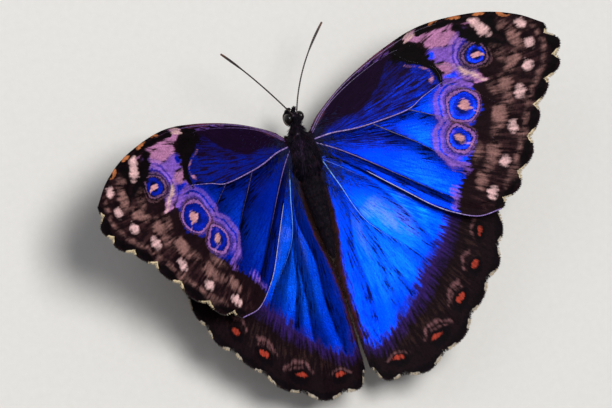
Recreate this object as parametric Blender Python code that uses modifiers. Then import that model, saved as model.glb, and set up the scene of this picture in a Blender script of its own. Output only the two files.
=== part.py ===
"""Blue morpho butterfly at rest, standing on four legs with its wings spread in a shallow V.

Lengths below are millimetres. +X is the butterfly's right, +Y is ahead of its head and +Z is up.
Body, legs and wings are laid out from the middle of the forewing hinges, and an empty there
carries them all. The floor is at Z = 0, under the middle of the spread wings.
"""
import math

import bmesh
import bpy
from mathutils import Vector

MM = 0.001

# Stance
HINGE_HEIGHT = 13.5            # forewing hinges above the floor
HINGE_X = -0.19                # forewing hinges from the middle of the spread
HINGE_Y = 16.06
GAP = 0.15                     # air between pieces that touch
FLAT_DEPTH = 0.1               # how much of a foot's underside is worn flat

# Body: stations along the length, each (y, z, half width, half height)
HEAD = [(4.3, -0.8, 0.95, 1.15), (4.8, -0.7, 1.35, 1.6), (5.7, -0.6, 1.5, 1.85),
        (6.6, -0.65, 1.25, 1.6), (7.15, -0.7, 0.6, 0.9)]
COLLAR = [(2.75, -1.3, 1.5, 2.0), (3.5, -1.05, 1.45, 1.75), (4.15, -0.9, 1.05, 1.3)]
THORAX = [(-7.0, -2.0, 2.1, 2.6), (-5.2, -2.0, 2.9, 3.6), (-2.8, -1.9, 3.25, 4.1),
          (-0.5, -1.7, 3.1, 4.0), (1.4, -1.5, 2.5, 3.3), (2.6, -1.4, 1.6, 2.2)]
ABDOMEN = [(-26.4, -2.8, 0.35, 0.4), (-24.5, -2.6, 1.05, 1.2), (-21.0, -2.3, 1.6, 1.8),
           (-17.0, -2.1, 2.05, 2.2), (-13.0, -2.0, 2.5, 2.55), (-9.5, -2.0, 2.5, 2.6),
           (-7.15, -2.0, 2.0, 2.4)]
BODY_SIDES = 16
STATION_STEPS = 3              # rings between one station and the next
ABDOMEN_RINGS = 8              # segments of the abdomen
SEGMENT_PINCH = 0.05           # how far the abdomen narrows between segments

# Eyes, palps, tongue and antennae
EYE_CENTRE = Vector((1.45, 5.9, -0.5))
EYE_RADII = Vector((0.95, 1.2, 1.35))
EYE_RINGS = 8
PALP = [(0.85, 5.6, -1.9), (0.9, 6.7, -2.5), (0.86, 7.5, -1.8), (0.75, 7.9, -0.7), (0.6, 8.1, 0.2)]
PALP_RADII = [0.42, 0.42, 0.42, 0.4, 0.26]
TONGUE_ROOT = [(0.0, 5.0, -1.8), (0.0, 5.0, -3.0)]   # from inside the mouth down to the coil
TONGUE_CENTRE = (0.0, 6.45, -4.6)
TONGUE_OUTER = 1.45            # radius of the outer turn of the coiled tongue
TONGUE_PITCH = 0.62            # from one turn of it to the next
TONGUE_TURNS = 1.75
TONGUE_STEPS = 16
TONGUE_WIRE = 0.25
ANTENNA_BASE = Vector((0.45, 6.3, 0.5))
ANTENNA_TIPS = {"left": Vector((-16.4, 22.9, 8.0)), "right": Vector((12.4, 24.7, 2.2))}
ANTENNA_BOWS = {"left": Vector((-0.4, 1.8, 0.9)), "right": Vector((-3.4, 0.4, 0.6))}
ANTENNA_WIRE = 0.26
ANTENNA_CLUB = 0.36
CLUB_START = 0.66              # how far along the antenna it begins to thicken
CLUB_RUN = 0.4                 # part of its length over which it swells and closes again
ANTENNA_STEPS = 14

# Legs, right side: hip inside the thorax, then trochanter, knee, ankle and toe
MID_LEG = [(1.3, -0.4, -4.2), (2.2, 0.2, -6.5), (8.0, 2.0, -5.2), (11.4, 2.6, -12.3),
           (14.6, 5.4, -13.3)]
HIND_LEG = [(1.3, -4.2, -4.0), (2.2, -4.9, -6.2), (6.6, -10.6, -5.6), (9.0, -15.6, -12.3),
            (11.2, -22.2, -13.3)]
FORELEG = [(0.9, 1.2, -3.3), (1.0, 1.6, -4.9), (1.25, 2.7, -5.1), (1.1, 1.7, -5.9), (1.0, 0.7, -6.2)]
LEG_RADII = [0.75, 0.66, 0.46, 0.33, 0.28]
FORELEG_RADII = [0.4, 0.4, 0.36, 0.32, 0.26]
BEND_CUT = 0.16                # part of each limb length taken up by the rounded bend
LANDING = 0.4                  # part of the foot, from the ankle, that is held off the floor

# Wings, each in its own plane: u outwards from the hinge, v forwards
WING_THICK = 0.55
SIDES = {"left": -1, "right": 1}
FOREWING_HINGE = Vector((2.6, 0.0, -1.2))
FOREWING_RISE = 17.1           # degrees above level
FOREWING_SWEEP = {"left": -7.0, "right": 7.0}   # degrees forwards of square to the body
FOREWING_COSTA = [(0.3, 1.8), (4.2, 5.0), (13.0, 9.3), (24.0, 12.6), (34.0, 13.8),
                  (46.0, 11.6), (54.0, 7.9), (59.2, 3.6)]
FOREWING_TIPS = [(59.2, 3.6), (61.0, -1.6), (58.8, -6.6), (53.9, -10.6), (49.7, -15.9),
                 (45.0, -22.6), (39.1, -28.4), (33.8, -31.1)]
FOREWING_INNER = [(1.05, -2.7), (8.5, -11.0), (15.0, -18.9), (19.4, -24.2), (23.3, -27.7),
                  (28.0, -30.6), (33.8, -31.1)]
FOREWING_SCALLOP = 1.6
FOREWING_CAMBER = 0.7          # rise of the middle of the wing above its edges
HINDWING_HINGE = Vector((2.6, -5.5, -2.3))
HINDWING_RISE = 9.6
HINDWING_SWEEP = {"left": 0.0, "right": 0.0}
HINDWING_COSTA = [(0.8, 2.8), (8.0, 4.4), (18.0, 3.6), (27.0, -1.6), (34.0, -9.6)]
HINDWING_TIPS = [(34.0, -9.6), (38.6, -17.4), (37.2, -25.7), (33.9, -33.0), (27.8, -39.4),
                 (20.9, -46.4), (10.7, -51.4), (0.9, -50.8), (-2.1, -46.8)]
HINDWING_INNER = [(0.3, -1.4), (0.45, -5.0), (0.3, -9.5), (-0.2, -14.0), (-0.9, -18.5),
                  (-1.9, -22.0), (-2.3, -26.0), (-2.35, -37.0), (-2.1, -46.8)]
HINDWING_SCALLOP = 1.3
HINDWING_CAMBER = 0.6
SCALLOP_SHARPNESS = 0.7
EDGE_STEPS = 6                 # points from one vein tip to the next
RADIAL_STEPS = 6               # points from the wing root to the margin


def clear_scene():
    for obj in list(bpy.data.objects):
        bpy.data.objects.remove(obj, do_unlink=True)


def collection(name):
    group = bpy.data.collections.new(name)
    bpy.context.scene.collection.children.link(group)
    return group


def material(name, colour, roughness, metallic=0.0):
    mat = bpy.data.materials.new(name)
    mat.use_nodes = True
    shader = mat.node_tree.nodes["Principled BSDF"]
    shader.inputs["Base Color"].default_value = (*colour, 1.0)
    shader.inputs["Roughness"].default_value = roughness
    shader.inputs["Metallic"].default_value = metallic
    return mat


def place(name, mesh, mat, group=None):
    """Add a mesh as a named piece of the butterfly, carried by the hinge empty."""
    mesh.materials.append(mat)
    mesh.shade_smooth()
    mesh.set_sharp_from_angle(angle=math.radians(40))
    obj = bpy.data.objects.new(name, mesh)
    (group or parts).objects.link(obj)
    obj.parent = carrier
    return obj


def hide_cutter(obj):
    obj.hide_render = True
    obj.display_type = "WIRE"


def subtract(obj, cutter):
    cut = obj.modifiers.new("cut_" + cutter.name, "BOOLEAN")
    cut.operation = "DIFFERENCE"
    cut.solver = "EXACT"
    cut.object = cutter


def hermite(before, start, end, after, f):
    """A smooth step from start to end, a fraction f of the way."""
    lead = (end - before) * 0.5
    trail = (after - start) * 0.5
    return (start * (2 * f ** 3 - 3 * f ** 2 + 1) + lead * (f ** 3 - 2 * f ** 2 + f)
            + end * (3 * f ** 2 - 2 * f ** 3) + trail * (f ** 3 - f ** 2))


def span_point(points, index, f):
    """A point on the smooth curve through points, a fraction f past the one at index."""
    last = len(points) - 1
    start, end = Vector(points[index]), Vector(points[index + 1])
    before = Vector(points[index - 1]) if index > 0 else start * 2 - end
    after = Vector(points[index + 2]) if index + 2 <= last else end * 2 - start
    return hermite(before, start, end, after, f)


def along(points, fraction):
    """A point on the smooth curve through points, at a fraction of its length."""
    lengths = [(Vector(b) - Vector(a)).length for a, b in zip(points, points[1:])]
    distance = fraction * sum(lengths)
    for index, length in enumerate(lengths):
        if distance <= length or index == len(lengths) - 1:
            return span_point(points, index, min(distance / length, 1.0))
        distance -= length


# ---- body ----------------------------------------------------------------------------------

def body_mesh(name, stations, grow=0.0, segments=0):
    """Loft oval rings through the stations, with flat ends; segments pinch it into rings."""
    rings = []
    spans = len(stations) - 1
    steps = STATION_STEPS
    for k in range(spans * steps + 1):
        index = min(k // steps, spans - 1)
        y, z, wide, tall = span_point(stations, index, k / steps - index)
        if segments:
            pinch = abs(math.sin(math.pi * segments * k / (spans * steps)))
            wide *= 1 - SEGMENT_PINCH * (1 - pinch)
            tall *= 1 - SEGMENT_PINCH * (1 - pinch)
        if grow and k == 0:
            y -= grow
        if grow and k == spans * steps:
            y += grow
        rings.append((y, z, wide + grow, tall + grow))
    verts = []
    for y, z, wide, tall in rings:
        for j in range(BODY_SIDES):
            angle = math.tau * j / BODY_SIDES
            verts.append((MM * wide * math.cos(angle), MM * y, MM * (z + tall * math.sin(angle))))
    faces = []
    for k in range(len(rings) - 1):
        for j in range(BODY_SIDES):
            a = k * BODY_SIDES + j
            b = k * BODY_SIDES + (j + 1) % BODY_SIDES
            faces.append((a, a + BODY_SIDES, b + BODY_SIDES, b))
    faces.append(tuple(range(BODY_SIDES)))
    end = (len(rings) - 1) * BODY_SIDES
    faces.append(tuple(reversed(range(end, end + BODY_SIDES))))
    mesh = bpy.data.meshes.new(name)
    mesh.from_pydata(verts, [], faces)
    return mesh


def build_clearance(name, stations):
    """A body part grown by the gap, which trims whatever is rooted in it."""
    cutter = place(name + "_clearance", body_mesh(name + "_clearance", stations, GAP), dark_hair, cutters)
    hide_cutter(cutter)
    return cutter


def build_body():
    place("thorax", body_mesh("thorax", THORAX), dark_hair)
    place("collar", body_mesh("collar", COLLAR), dark_hair)
    place("abdomen", body_mesh("abdomen", ABDOMEN, segments=ABDOMEN_RINGS), dark_hair)
    return place("head", body_mesh("head", HEAD), dark_hair)


# ---- head parts ----------------------------------------------------------------------------

def ellipsoid(name, centre, radii):
    bm = bmesh.new()
    bmesh.ops.create_uvsphere(bm, u_segments=2 * EYE_RINGS, v_segments=EYE_RINGS, radius=1.0)
    for vert in bm.verts:
        vert.co = Vector([MM * (c + r * q) for c, r, q in zip(centre, radii, vert.co)])
    mesh = bpy.data.meshes.new(name)
    bm.to_mesh(mesh)
    bm.free()
    return mesh


def build_eyes(head):
    for side, sign in SIDES.items():
        centre = Vector((sign * EYE_CENTRE.x, EYE_CENTRE.y, EYE_CENTRE.z))
        place("eye_" + side, ellipsoid("eye_" + side, centre, EYE_RADII), eye_black)
        socket_radii = EYE_RADII + Vector((GAP, GAP, GAP))
        socket = place("eye_socket_" + side,
                       ellipsoid("eye_socket_" + side, centre, socket_radii), eye_black, cutters)
        hide_cutter(socket)
        subtract(head, socket)


def tube(name, path, radii, mat):
    """A tapering round tube along a path, made a mesh so that it can be cut."""
    curve = bpy.data.curves.new(name + "_path", "CURVE")
    curve.dimensions = "3D"
    curve.bevel_depth = MM
    curve.bevel_resolution = 2
    curve.use_fill_caps = True
    spline = curve.splines.new("POLY")
    spline.points.add(len(path) - 1)
    for point, spot, radius in zip(spline.points, path, radii):
        point.co = (*[MM * value for value in spot], 1.0)
        point.radius = radius
    guide = bpy.data.objects.new(name + "_path", curve)
    parts.objects.link(guide)
    guide.parent = carrier
    bpy.context.view_layer.update()
    graph = bpy.context.evaluated_depsgraph_get()
    mesh = bpy.data.meshes.new_from_object(guide.evaluated_get(graph))
    bm = bmesh.new()
    bm.from_mesh(mesh)
    bmesh.ops.remove_doubles(bm, verts=bm.verts, dist=0.00001)
    bm.to_mesh(mesh)
    bm.free()
    bpy.data.objects.remove(guide, do_unlink=True)
    mesh.name = name
    mesh.materials.clear()
    return place(name, mesh, mat)


def mirrored(points, sign):
    return [(sign * x, y, z) for x, y, z in points]


def build_palps(head_clearance):
    for side, sign in SIDES.items():
        path = mirrored(PALP, sign)
        subtract(tube("palp_" + side, path, PALP_RADII, dark_hair), head_clearance)


def build_tongue(head_clearance):
    """The tongue hangs from the mouth and is rolled up like a watch spring between the palps."""
    path = list(TONGUE_ROOT)
    x, y, z = TONGUE_CENTRE
    for k in range(TONGUE_STEPS + 1):
        turn = TONGUE_TURNS * k / TONGUE_STEPS
        radius = TONGUE_OUTER - TONGUE_PITCH * turn
        angle = math.pi + math.tau * turn
        path.append((x, y + radius * math.cos(angle), z + radius * math.sin(angle)))
    subtract(tube("tongue", path, [TONGUE_WIRE] * len(path), horn_brown), head_clearance)


def build_antennae(head_clearance):
    for side, sign in SIDES.items():
        base = Vector((sign * ANTENNA_BASE.x, ANTENNA_BASE.y, ANTENNA_BASE.z))
        tip = ANTENNA_TIPS[side]
        middle = (base + tip) / 2 + ANTENNA_BOWS[side]
        path = []
        radii = []
        for k in range(ANTENNA_STEPS + 1):
            f = k / ANTENNA_STEPS
            path.append(base * (1 - f) ** 2 + middle * 2 * f * (1 - f) + tip * f ** 2)
            club = math.sin(math.pi * max(0.0, (f - CLUB_START) / CLUB_RUN))
            radii.append(ANTENNA_WIRE + (ANTENNA_CLUB - ANTENNA_WIRE) * club)
        subtract(tube("antenna_" + side, path, radii, horn_brown), head_clearance)


# ---- legs ----------------------------------------------------------------------------------

def rounded_limb(joints, radii):
    """The limb's path with each inner joint turned into a short bend of three points."""
    spots = [Vector(joint) for joint in joints]
    path = [spots[0]]
    widths = [radii[0]]
    for k in range(1, len(spots) - 1):
        into = spots[k].lerp(spots[k - 1], BEND_CUT)
        out = spots[k].lerp(spots[k + 1], BEND_CUT)
        path += [into, (into + out + spots[k] * 2) / 4, out]
        widths += [radii[k]] * 3
    return path + [spots[-1]], widths + [radii[-1]]


def flatten_foot(leg):
    """Take off whatever reaches below the floor, leaving a small flat to stand on."""
    bm = bmesh.new()
    bm.from_mesh(leg.data)
    everything = list(bm.verts) + list(bm.edges) + list(bm.faces)
    cut = bmesh.ops.bisect_plane(bm, geom=everything, plane_co=(0, 0, -MM * HINGE_HEIGHT),
                                 plane_no=(0, 0, -1), clear_outer=True)
    rim = [item for item in cut["geom_cut"] if isinstance(item, bmesh.types.BMEdge)]
    bmesh.ops.contextual_create(bm, geom=rim)
    bm.to_mesh(leg.data)
    bm.free()


def tarsus_points(joints):
    """Ankle to toe: the foot comes down to the floor and then lies along it."""
    ankle, toe = Vector(joints[-2]), Vector(joints[-1])
    lying = -HINGE_HEIGHT + LEG_RADII[-1] - FLAT_DEPTH
    landing = ankle.lerp(toe, LANDING)
    landing.z = lying
    toe.z = lying
    return joints[:-1] + [tuple(landing), tuple(toe)]


def build_legs(thorax_clearance):
    for side, sign in SIDES.items():
        for name, joints in (("mid", MID_LEG), ("hind", HIND_LEG)):
            path, widths = rounded_limb(tarsus_points(mirrored(joints, sign)),
                                        LEG_RADII + [LEG_RADII[-1]])
            leg = tube("leg_" + name + "_" + side, path, widths, leg_brown)
            flatten_foot(leg)
            subtract(leg, thorax_clearance)


def build_forelegs(thorax_clearance, collar_clearance):
    """The short brush-like forelegs, folded against the chest and never walked on."""
    for side, sign in SIDES.items():
        path, widths = rounded_limb(mirrored(FORELEG, sign), FORELEG_RADII)
        leg = tube("leg_fore_" + side, path, widths, leg_brown)
        subtract(leg, thorax_clearance)
        subtract(leg, collar_clearance)


# ---- wings ---------------------------------------------------------------------------------

def margin_point(tips, s, depth):
    """The outer margin: a lobe at each vein tip and a sharp notch halfway to the next."""
    spans = len(tips) - 1
    index = min(int(s * spans + 1e-6), spans - 1)
    f = s * spans - index
    spot = span_point(tips, index, f)
    hollow = 1 - abs(math.cos(math.pi * f)) ** SCALLOP_SHARPNESS
    return spot - spot.normalized() * depth * hollow


def wing_point(outline, s, t):
    """Blend the four edges; s runs from the costa to the inner margin, t from root to margin."""
    costa, tips, inner, depth, camber = outline
    root = Vector(costa[0]).lerp(Vector(inner[0]), s)
    margin = margin_point(tips, s, depth)
    sides = along(costa, t) * (1 - s) + along(inner, t) * s
    ends = root * (1 - t) + margin * t
    near = Vector(costa[0]) * (1 - s) + Vector(inner[0]) * s
    far = Vector(costa[-1]) * (1 - s) + Vector(inner[-1]) * s
    u, v = sides + ends - near * (1 - t) - far * t
    return u, v, camber * math.sin(math.pi * t) * math.sin(math.pi * s)


def build_wing(kind, side, outline, hinge, rise, sweep, mat):
    sign = SIDES[side]
    spans = len(outline[1]) - 1
    bm = bmesh.new()
    bmesh.ops.create_grid(bm, x_segments=spans * EDGE_STEPS, y_segments=RADIAL_STEPS, size=0.5)
    for vert in bm.verts:
        u, v, rise_here = wing_point(outline, vert.co.x + 0.5, vert.co.y + 0.5)
        vert.co = (sign * MM * u, MM * v, MM * rise_here)
    mesh = bpy.data.meshes.new(kind + "_" + side)
    bm.to_mesh(mesh)
    bm.free()
    wing = place(kind + "_" + side, mesh, mat)
    wing.location = MM * Vector((sign * hinge.x, hinge.y, hinge.z))
    wing.rotation_mode = "ZXY"
    wing.rotation_euler = (0.0, -sign * math.radians(rise), sign * math.radians(sweep))
    shell = wing.modifiers.new("membrane", "SOLIDIFY")
    shell.thickness = MM * WING_THICK
    shell.offset = 0.0
    return wing


def build_wings():
    forewing = (FOREWING_COSTA, FOREWING_TIPS, FOREWING_INNER, FOREWING_SCALLOP, FOREWING_CAMBER)
    hindwing = (HINDWING_COSTA, HINDWING_TIPS, HINDWING_INNER, HINDWING_SCALLOP, HINDWING_CAMBER)
    for side in SIDES:
        build_wing("forewing", side, forewing, FOREWING_HINGE, FOREWING_RISE,
                   FOREWING_SWEEP[side], wing_blue)
        build_wing("hindwing", side, hindwing, HINDWING_HINGE, HINDWING_RISE,
                   HINDWING_SWEEP[side], wing_blue)


clear_scene()
parts = collection("blue_morpho_butterfly")
cutters = collection("cutters")
dark_hair = material("dark_body_hair", (0.025, 0.02, 0.03), 0.85)
eye_black = material("compound_eye", (0.01, 0.01, 0.02), 0.15)
horn_brown = material("antenna_cuticle", (0.09, 0.05, 0.035), 0.5)
leg_brown = material("leg_cuticle", (0.1, 0.065, 0.045), 0.55)
wing_blue = material("wing_scales", (0.01, 0.08, 0.75), 0.35, metallic=0.4)

carrier = bpy.data.objects.new("forewing_hinges", None)
parts.objects.link(carrier)
carrier.location = MM * Vector((HINGE_X, HINGE_Y, HINGE_HEIGHT))

head = build_body()
head_clearance = build_clearance("head", HEAD)
thorax_clearance = build_clearance("thorax", THORAX)
collar_clearance = build_clearance("collar", COLLAR)
build_eyes(head)
build_palps(head_clearance)
build_tongue(head_clearance)
build_antennae(head_clearance)
build_legs(thorax_clearance)
build_forelegs(thorax_clearance, collar_clearance)
build_wings()
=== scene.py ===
"""Blue morpho butterfly at rest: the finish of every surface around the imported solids.

Metres, +X to the butterfly's right, +Y ahead of its head, +Z up. Sizes named below are in
millimetres unless they say otherwise, and MM turns them into metres. Places on the body are
measured from the hinge centre, midway between the roots of the forewings.
"""
import math

import bmesh
import bpy
import numpy as np
from mathutils import Matrix, Vector


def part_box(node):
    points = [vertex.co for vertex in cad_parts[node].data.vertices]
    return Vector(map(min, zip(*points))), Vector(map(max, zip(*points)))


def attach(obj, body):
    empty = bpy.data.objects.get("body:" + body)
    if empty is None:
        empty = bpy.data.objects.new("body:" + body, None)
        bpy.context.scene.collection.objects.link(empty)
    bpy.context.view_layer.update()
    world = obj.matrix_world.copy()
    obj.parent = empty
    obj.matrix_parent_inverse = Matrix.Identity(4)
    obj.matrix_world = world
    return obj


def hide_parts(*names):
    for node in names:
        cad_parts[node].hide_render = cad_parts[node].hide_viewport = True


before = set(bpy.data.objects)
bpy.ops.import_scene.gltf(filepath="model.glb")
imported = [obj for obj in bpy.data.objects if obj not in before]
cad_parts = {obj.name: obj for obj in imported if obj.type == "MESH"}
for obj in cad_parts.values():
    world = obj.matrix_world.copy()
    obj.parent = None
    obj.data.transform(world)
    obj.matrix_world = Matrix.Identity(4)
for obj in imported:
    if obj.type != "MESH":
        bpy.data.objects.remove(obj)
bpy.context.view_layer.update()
MM = 0.001
FLOOR_TO_HINGES = 13.5
FRONT_TO_HINGES = 2.6      # from the front of the thorax back to the hinge centre
thorax_low, thorax_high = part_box("thorax")
hinges = Vector(((thorax_low.x + thorax_high.x) / 2, thorax_high.y - FRONT_TO_HINGES * MM,
                 FLOOR_TO_HINGES * MM))


# ---- body skin: head, collar, thorax, abdomen and palps --------------------------------------
# The case of the body is dark chitin in plates, joined by folds of thinner skin, and the whole of
# it is hidden under hair. One skin runs from the palps to the tip of the abdomen, drawn in from
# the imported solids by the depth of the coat.
SKIN_NODES = ["head", "collar", "thorax", "abdomen", "palp_left", "palp_right"]
SKIN_GROW = 0.16           # the solids swell by this until they meet and fuse
SKIN_VOXEL = 0.17
SKIN_SOFTENING = 9         # rounds of smoothing after the solids are fused
COAT_DEPTH = {"head": 0.2, "thorax": 0.42, "abdomen": 0.26}
NECK_Y, WAIST_Y, TAIL_Y = 4.2, -7.0, -26.4
ABDOMEN_PLATES = 8
PLATE_STEP = 0.09          # each plate's rear edge stands over the next one by this
PIT_WIDE, PIT_DEEP = 0.16, 0.03


def linear(hex_colour):
    """A hex colour as seen on screen, turned into the linear light the shaders work in."""
    parts = [int(hex_colour[k:k + 2], 16) / 255 for k in (1, 3, 5)]
    return tuple(p / 12.92 if p <= 0.04045 else ((p + 0.055) / 1.055) ** 2.4 for p in parts) + (1.0,)


def add(tree, kind, inputs=None, **settings):
    """Add one shader node, with its settings, and fill its inputs with values or links."""
    node = tree.nodes.new("ShaderNode" + kind)
    for key, value in settings.items():
        setattr(node, key, value)
    for key, value in (inputs or {}).items():
        if isinstance(value, bpy.types.NodeSocket):
            tree.links.new(value, node.inputs[key])
        else:
            node.inputs[key].default_value = value
    return node


def new_material(name):
    """An empty node material: its tree, its shader and the material itself."""
    mat = bpy.data.materials.new(name)
    mat.use_nodes = True
    return mat, mat.node_tree, mat.node_tree.nodes["Principled BSDF"]


def new_piece(name, points, faces, nodes, mats):
    """A mesh in metres becomes a piece that rides on the butterfly and stands for CAD nodes."""
    mesh = bpy.data.meshes.new(name)
    mesh.from_pydata(np.asarray(points).tolist(), [], [list(map(int, face)) for face in faces])
    mesh.shade_smooth()
    for mat in mats:
        mesh.materials.append(mat)
    obj = bpy.data.objects.new(name, mesh)
    bpy.context.scene.collection.objects.link(obj)
    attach(obj, "root")
    if nodes:
        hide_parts(*nodes)
    return obj


def from_hinges(points):
    """Millimetres from the hinge centre, turned into metres in the frame."""
    return np.asarray(points, float) * MM + np.array(hinges)


def body_colour(tree):
    """Black above with pale flecks and painted violet sheen, blackest on the abdomen, brown below."""
    place = add(tree, "TexCoord").outputs["Object"]
    axes = add(tree, "SeparateXYZ", {"Vector": place})
    height = axes.outputs["Z"]
    grain = add(tree, "TexNoise", {"Vector": place, "Scale": 1 / (1.4 * MM), "Detail": 3.0}).outputs["Fac"]
    ragged = add(tree, "Math", {0: grain, 1: 2.4 * MM, 2: height}, operation="MULTIPLY_ADD").outputs[0]
    above = add(tree, "MapRange", {"Value": ragged, "From Min": (FLOOR_TO_HINGES - 3.4) * MM,
                                   "From Max": (FLOOR_TO_HINGES - 0.4) * MM}).outputs[0]
    patchy = add(tree, "MapRange", {"Value": grain, "From Min": 0.4, "From Max": 0.64}).outputs[0]
    back = add(tree, "Mix", {0: patchy, 6: linear("#040205"), 7: linear("#1f1322")},
               data_type="RGBA").outputs[2]
    rear = add(tree, "MapRange", {"Value": axes.outputs["Y"], "From Min": hinges.y + WAIST_Y * MM,
                                  "From Max": hinges.y + (WAIST_Y - 2) * MM, "To Max": 0.8}).outputs[0]
    back = add(tree, "Mix", {0: rear, 6: back, 7: linear("#060304")}, data_type="RGBA").outputs[2]
    colour = add(tree, "Mix", {0: above, 6: linear("#2e201a"), 7: back}, data_type="RGBA").outputs[2]
    # the two violet patches, both on the left of the thorax, are painted sheen; the four flecks are pale
    for spot, radius, tint in (((-1.3, -0.4, 1.3), 1.1, "#3c2a48"), ((-1.8, -2.4, 1.3), 1.1, "#33243c"),
                               ((-0.9, 2.0, 1.0), 0.3, "#7d6c7c"), ((3.0, -3.6, 0.2), 0.34, "#7d6c7c"),
                               ((0.5, 6.6, 0.7), 0.24, "#7d6c7c"), ((-0.6, 6.2, 0.7), 0.24, "#7d6c7c")):
        gap = add(tree, "VectorMath", {0: place, 1: tuple(from_hinges(spot))}, operation="DISTANCE")
        near = add(tree, "MapRange", {"Value": gap.outputs["Value"], "From Min": radius * 1.5 * MM,
                                      "From Max": radius * 0.7 * MM, "To Max": 0.7}).outputs[0]
        colour = add(tree, "Mix", {0: near, 6: colour, 7: linear(tint)}, data_type="RGBA").outputs[2]
    return colour, place


def coat_depth(y):
    """How deep the hair is at a place along the body, blended from head to thorax to abdomen."""
    return np.interp(y, [WAIST_Y - 2.5, WAIST_Y - 0.5, 1.0, NECK_Y + 0.4],
                     [COAT_DEPTH["abdomen"], COAT_DEPTH["thorax"], COAT_DEPTH["thorax"],
                      COAT_DEPTH["head"]])


def fuse_flesh():
    """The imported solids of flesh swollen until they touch, fused into one and smoothed."""
    whole = bmesh.new()
    for name in SKIN_NODES:
        solid = bmesh.new()
        solid.from_mesh(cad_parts[name].data)
        bmesh.ops.remove_doubles(solid, verts=solid.verts, dist=0.002 * MM)
        bmesh.ops.recalc_face_normals(solid, faces=solid.faces)
        solid.normal_update()
        for spot, normal in [(vert, vert.normal.copy()) for vert in solid.verts]:
            spot.co += normal * SKIN_GROW * MM
        loose = bpy.data.meshes.new("flesh")
        solid.to_mesh(loose)
        whole.from_mesh(loose)
        solid.free()
    mesh = bpy.data.meshes.new("flesh")
    whole.to_mesh(mesh)
    whole.free()
    guide = bpy.data.objects.new("flesh", mesh)
    bpy.context.scene.collection.objects.link(guide)
    fused = guide.modifiers.new("fuse", "REMESH")
    fused.mode = "VOXEL"
    fused.voxel_size = SKIN_VOXEL * MM
    softened = guide.modifiers.new("soften", "SMOOTH")
    softened.iterations = SKIN_SOFTENING
    graph = bpy.context.evaluated_depsgraph_get()
    graph.update()
    result = bpy.data.meshes.new_from_object(guide.evaluated_get(graph))
    bpy.data.objects.remove(guide, do_unlink=True)
    return result


def build_skin():
    """Draw the fused flesh in by the coat's depth and step its rear half into plates."""
    mesh = fuse_flesh()
    count = len(mesh.vertices)
    spots, outward = np.empty(count * 3, np.float32), np.empty(count * 3, np.float32)
    mesh.vertices.foreach_get("co", spots)
    mesh.vertex_normals.foreach_get("vector", outward)
    spots, outward = spots.reshape(-1, 3), outward.reshape(-1, 3)
    y = (spots[:, 1] - hinges.y) / MM
    sink = SKIN_GROW + coat_depth(y)
    slim = np.clip((y - 6.4) / 0.8, 0, 1) * np.clip((0.3 - (spots[:, 2] - hinges.z) / MM) / 0.6, 0, 1)
    sink = sink * (1 - 0.45 * slim)
    plate = (WAIST_Y - y) / (WAIST_Y - TAIL_Y) * ABDOMEN_PLATES
    step = np.where((plate > 0.2) & (plate < ABDOMEN_PLATES), (plate % 1) ** 2, 0.5)
    spots = spots - outward * ((sink - PLATE_STEP * step) * MM)[:, None]
    mesh.vertices.foreach_set("co", spots.astype(np.float32).ravel())
    mesh.update()
    mesh.shade_smooth()
    mesh.name = "body_skin"
    mesh.materials.clear()
    mesh.materials.append(skin_mat)
    obj = bpy.data.objects.new("body_skin", mesh)
    bpy.context.scene.collection.objects.link(obj)
    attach(obj, "root")
    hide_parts(*SKIN_NODES)
    return obj


# Dark chitin grown in fine pits: a dull satin that only shows between the hairs.
skin_mat, skin_tree, skin_shader = new_material("dark_chitin_skin")
skin_colour, skin_place = body_colour(skin_tree)
skin_pits = add(skin_tree, "TexVoronoi", {"Vector": skin_place, "Scale": 1 / (PIT_WIDE * MM)})
skin_bump = add(skin_tree, "Bump", {"Height": skin_pits.outputs["Distance"], "Strength": 0.4,
                                    "Distance": PIT_DEEP * MM})
skin_tree.links.new(skin_colour, skin_shader.inputs["Base Color"])
skin_tree.links.new(skin_bump.outputs[0], skin_shader.inputs["Normal"])
skin_shader.inputs["Roughness"].default_value = 0.6
skin_shader.inputs["Specular IOR Level"].default_value = 0.1
skin = build_skin()


# ---- eyes ------------------------------------------------------------------------------------
# Two bulging compound eyes of clear chitin lenses over dark pigment. Each is a dome packed with
# six-sided facets, set in a socket in the side of the head.
EYE_PLACE = (1.45, 5.9, -0.5)
EYE_SIZE = (0.95, 1.2, 1.35)
EYE_RINGS, EYE_SPOKES = 40, 72
FACET = 0.11               # the real facets are a quarter of this, too fine to show
FACET_RISE = 0.012
SIDES = {"left": -1, "right": 1}


def build_eye(side):
    """A dome of rings about the sideways axis, its surface raised a little in the middle."""
    sign = SIDES[side]
    turn, lean = np.meshgrid(np.linspace(0, math.tau, EYE_SPOKES, endpoint=False),
                             np.linspace(0.02, math.pi - 0.02, EYE_RINGS))
    plump = 1 + 0.02 * np.cos(3 * lean)
    dome = np.stack([np.cos(lean) * plump, np.sin(lean) * np.cos(turn), np.sin(lean) * np.sin(turn)], -1)
    points = dome.reshape(-1, 3) * np.array(EYE_SIZE) + np.array(EYE_PLACE)
    faces = [(k * EYE_SPOKES + j, (k + 1) * EYE_SPOKES + j, (k + 1) * EYE_SPOKES + (j + 1) % EYE_SPOKES,
              k * EYE_SPOKES + (j + 1) % EYE_SPOKES)[::sign]
             for k in range(EYE_RINGS - 1) for j in range(EYE_SPOKES)]
    faces.append(tuple(range(EYE_SPOKES))[::sign])
    faces.append(tuple(range((EYE_RINGS - 1) * EYE_SPOKES, EYE_RINGS * EYE_SPOKES))[::-sign])
    points[:, 0] *= sign
    return new_piece("eye_lens_" + side, from_hinges(points), faces, ["eye_" + side], [eye_mat])


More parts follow.
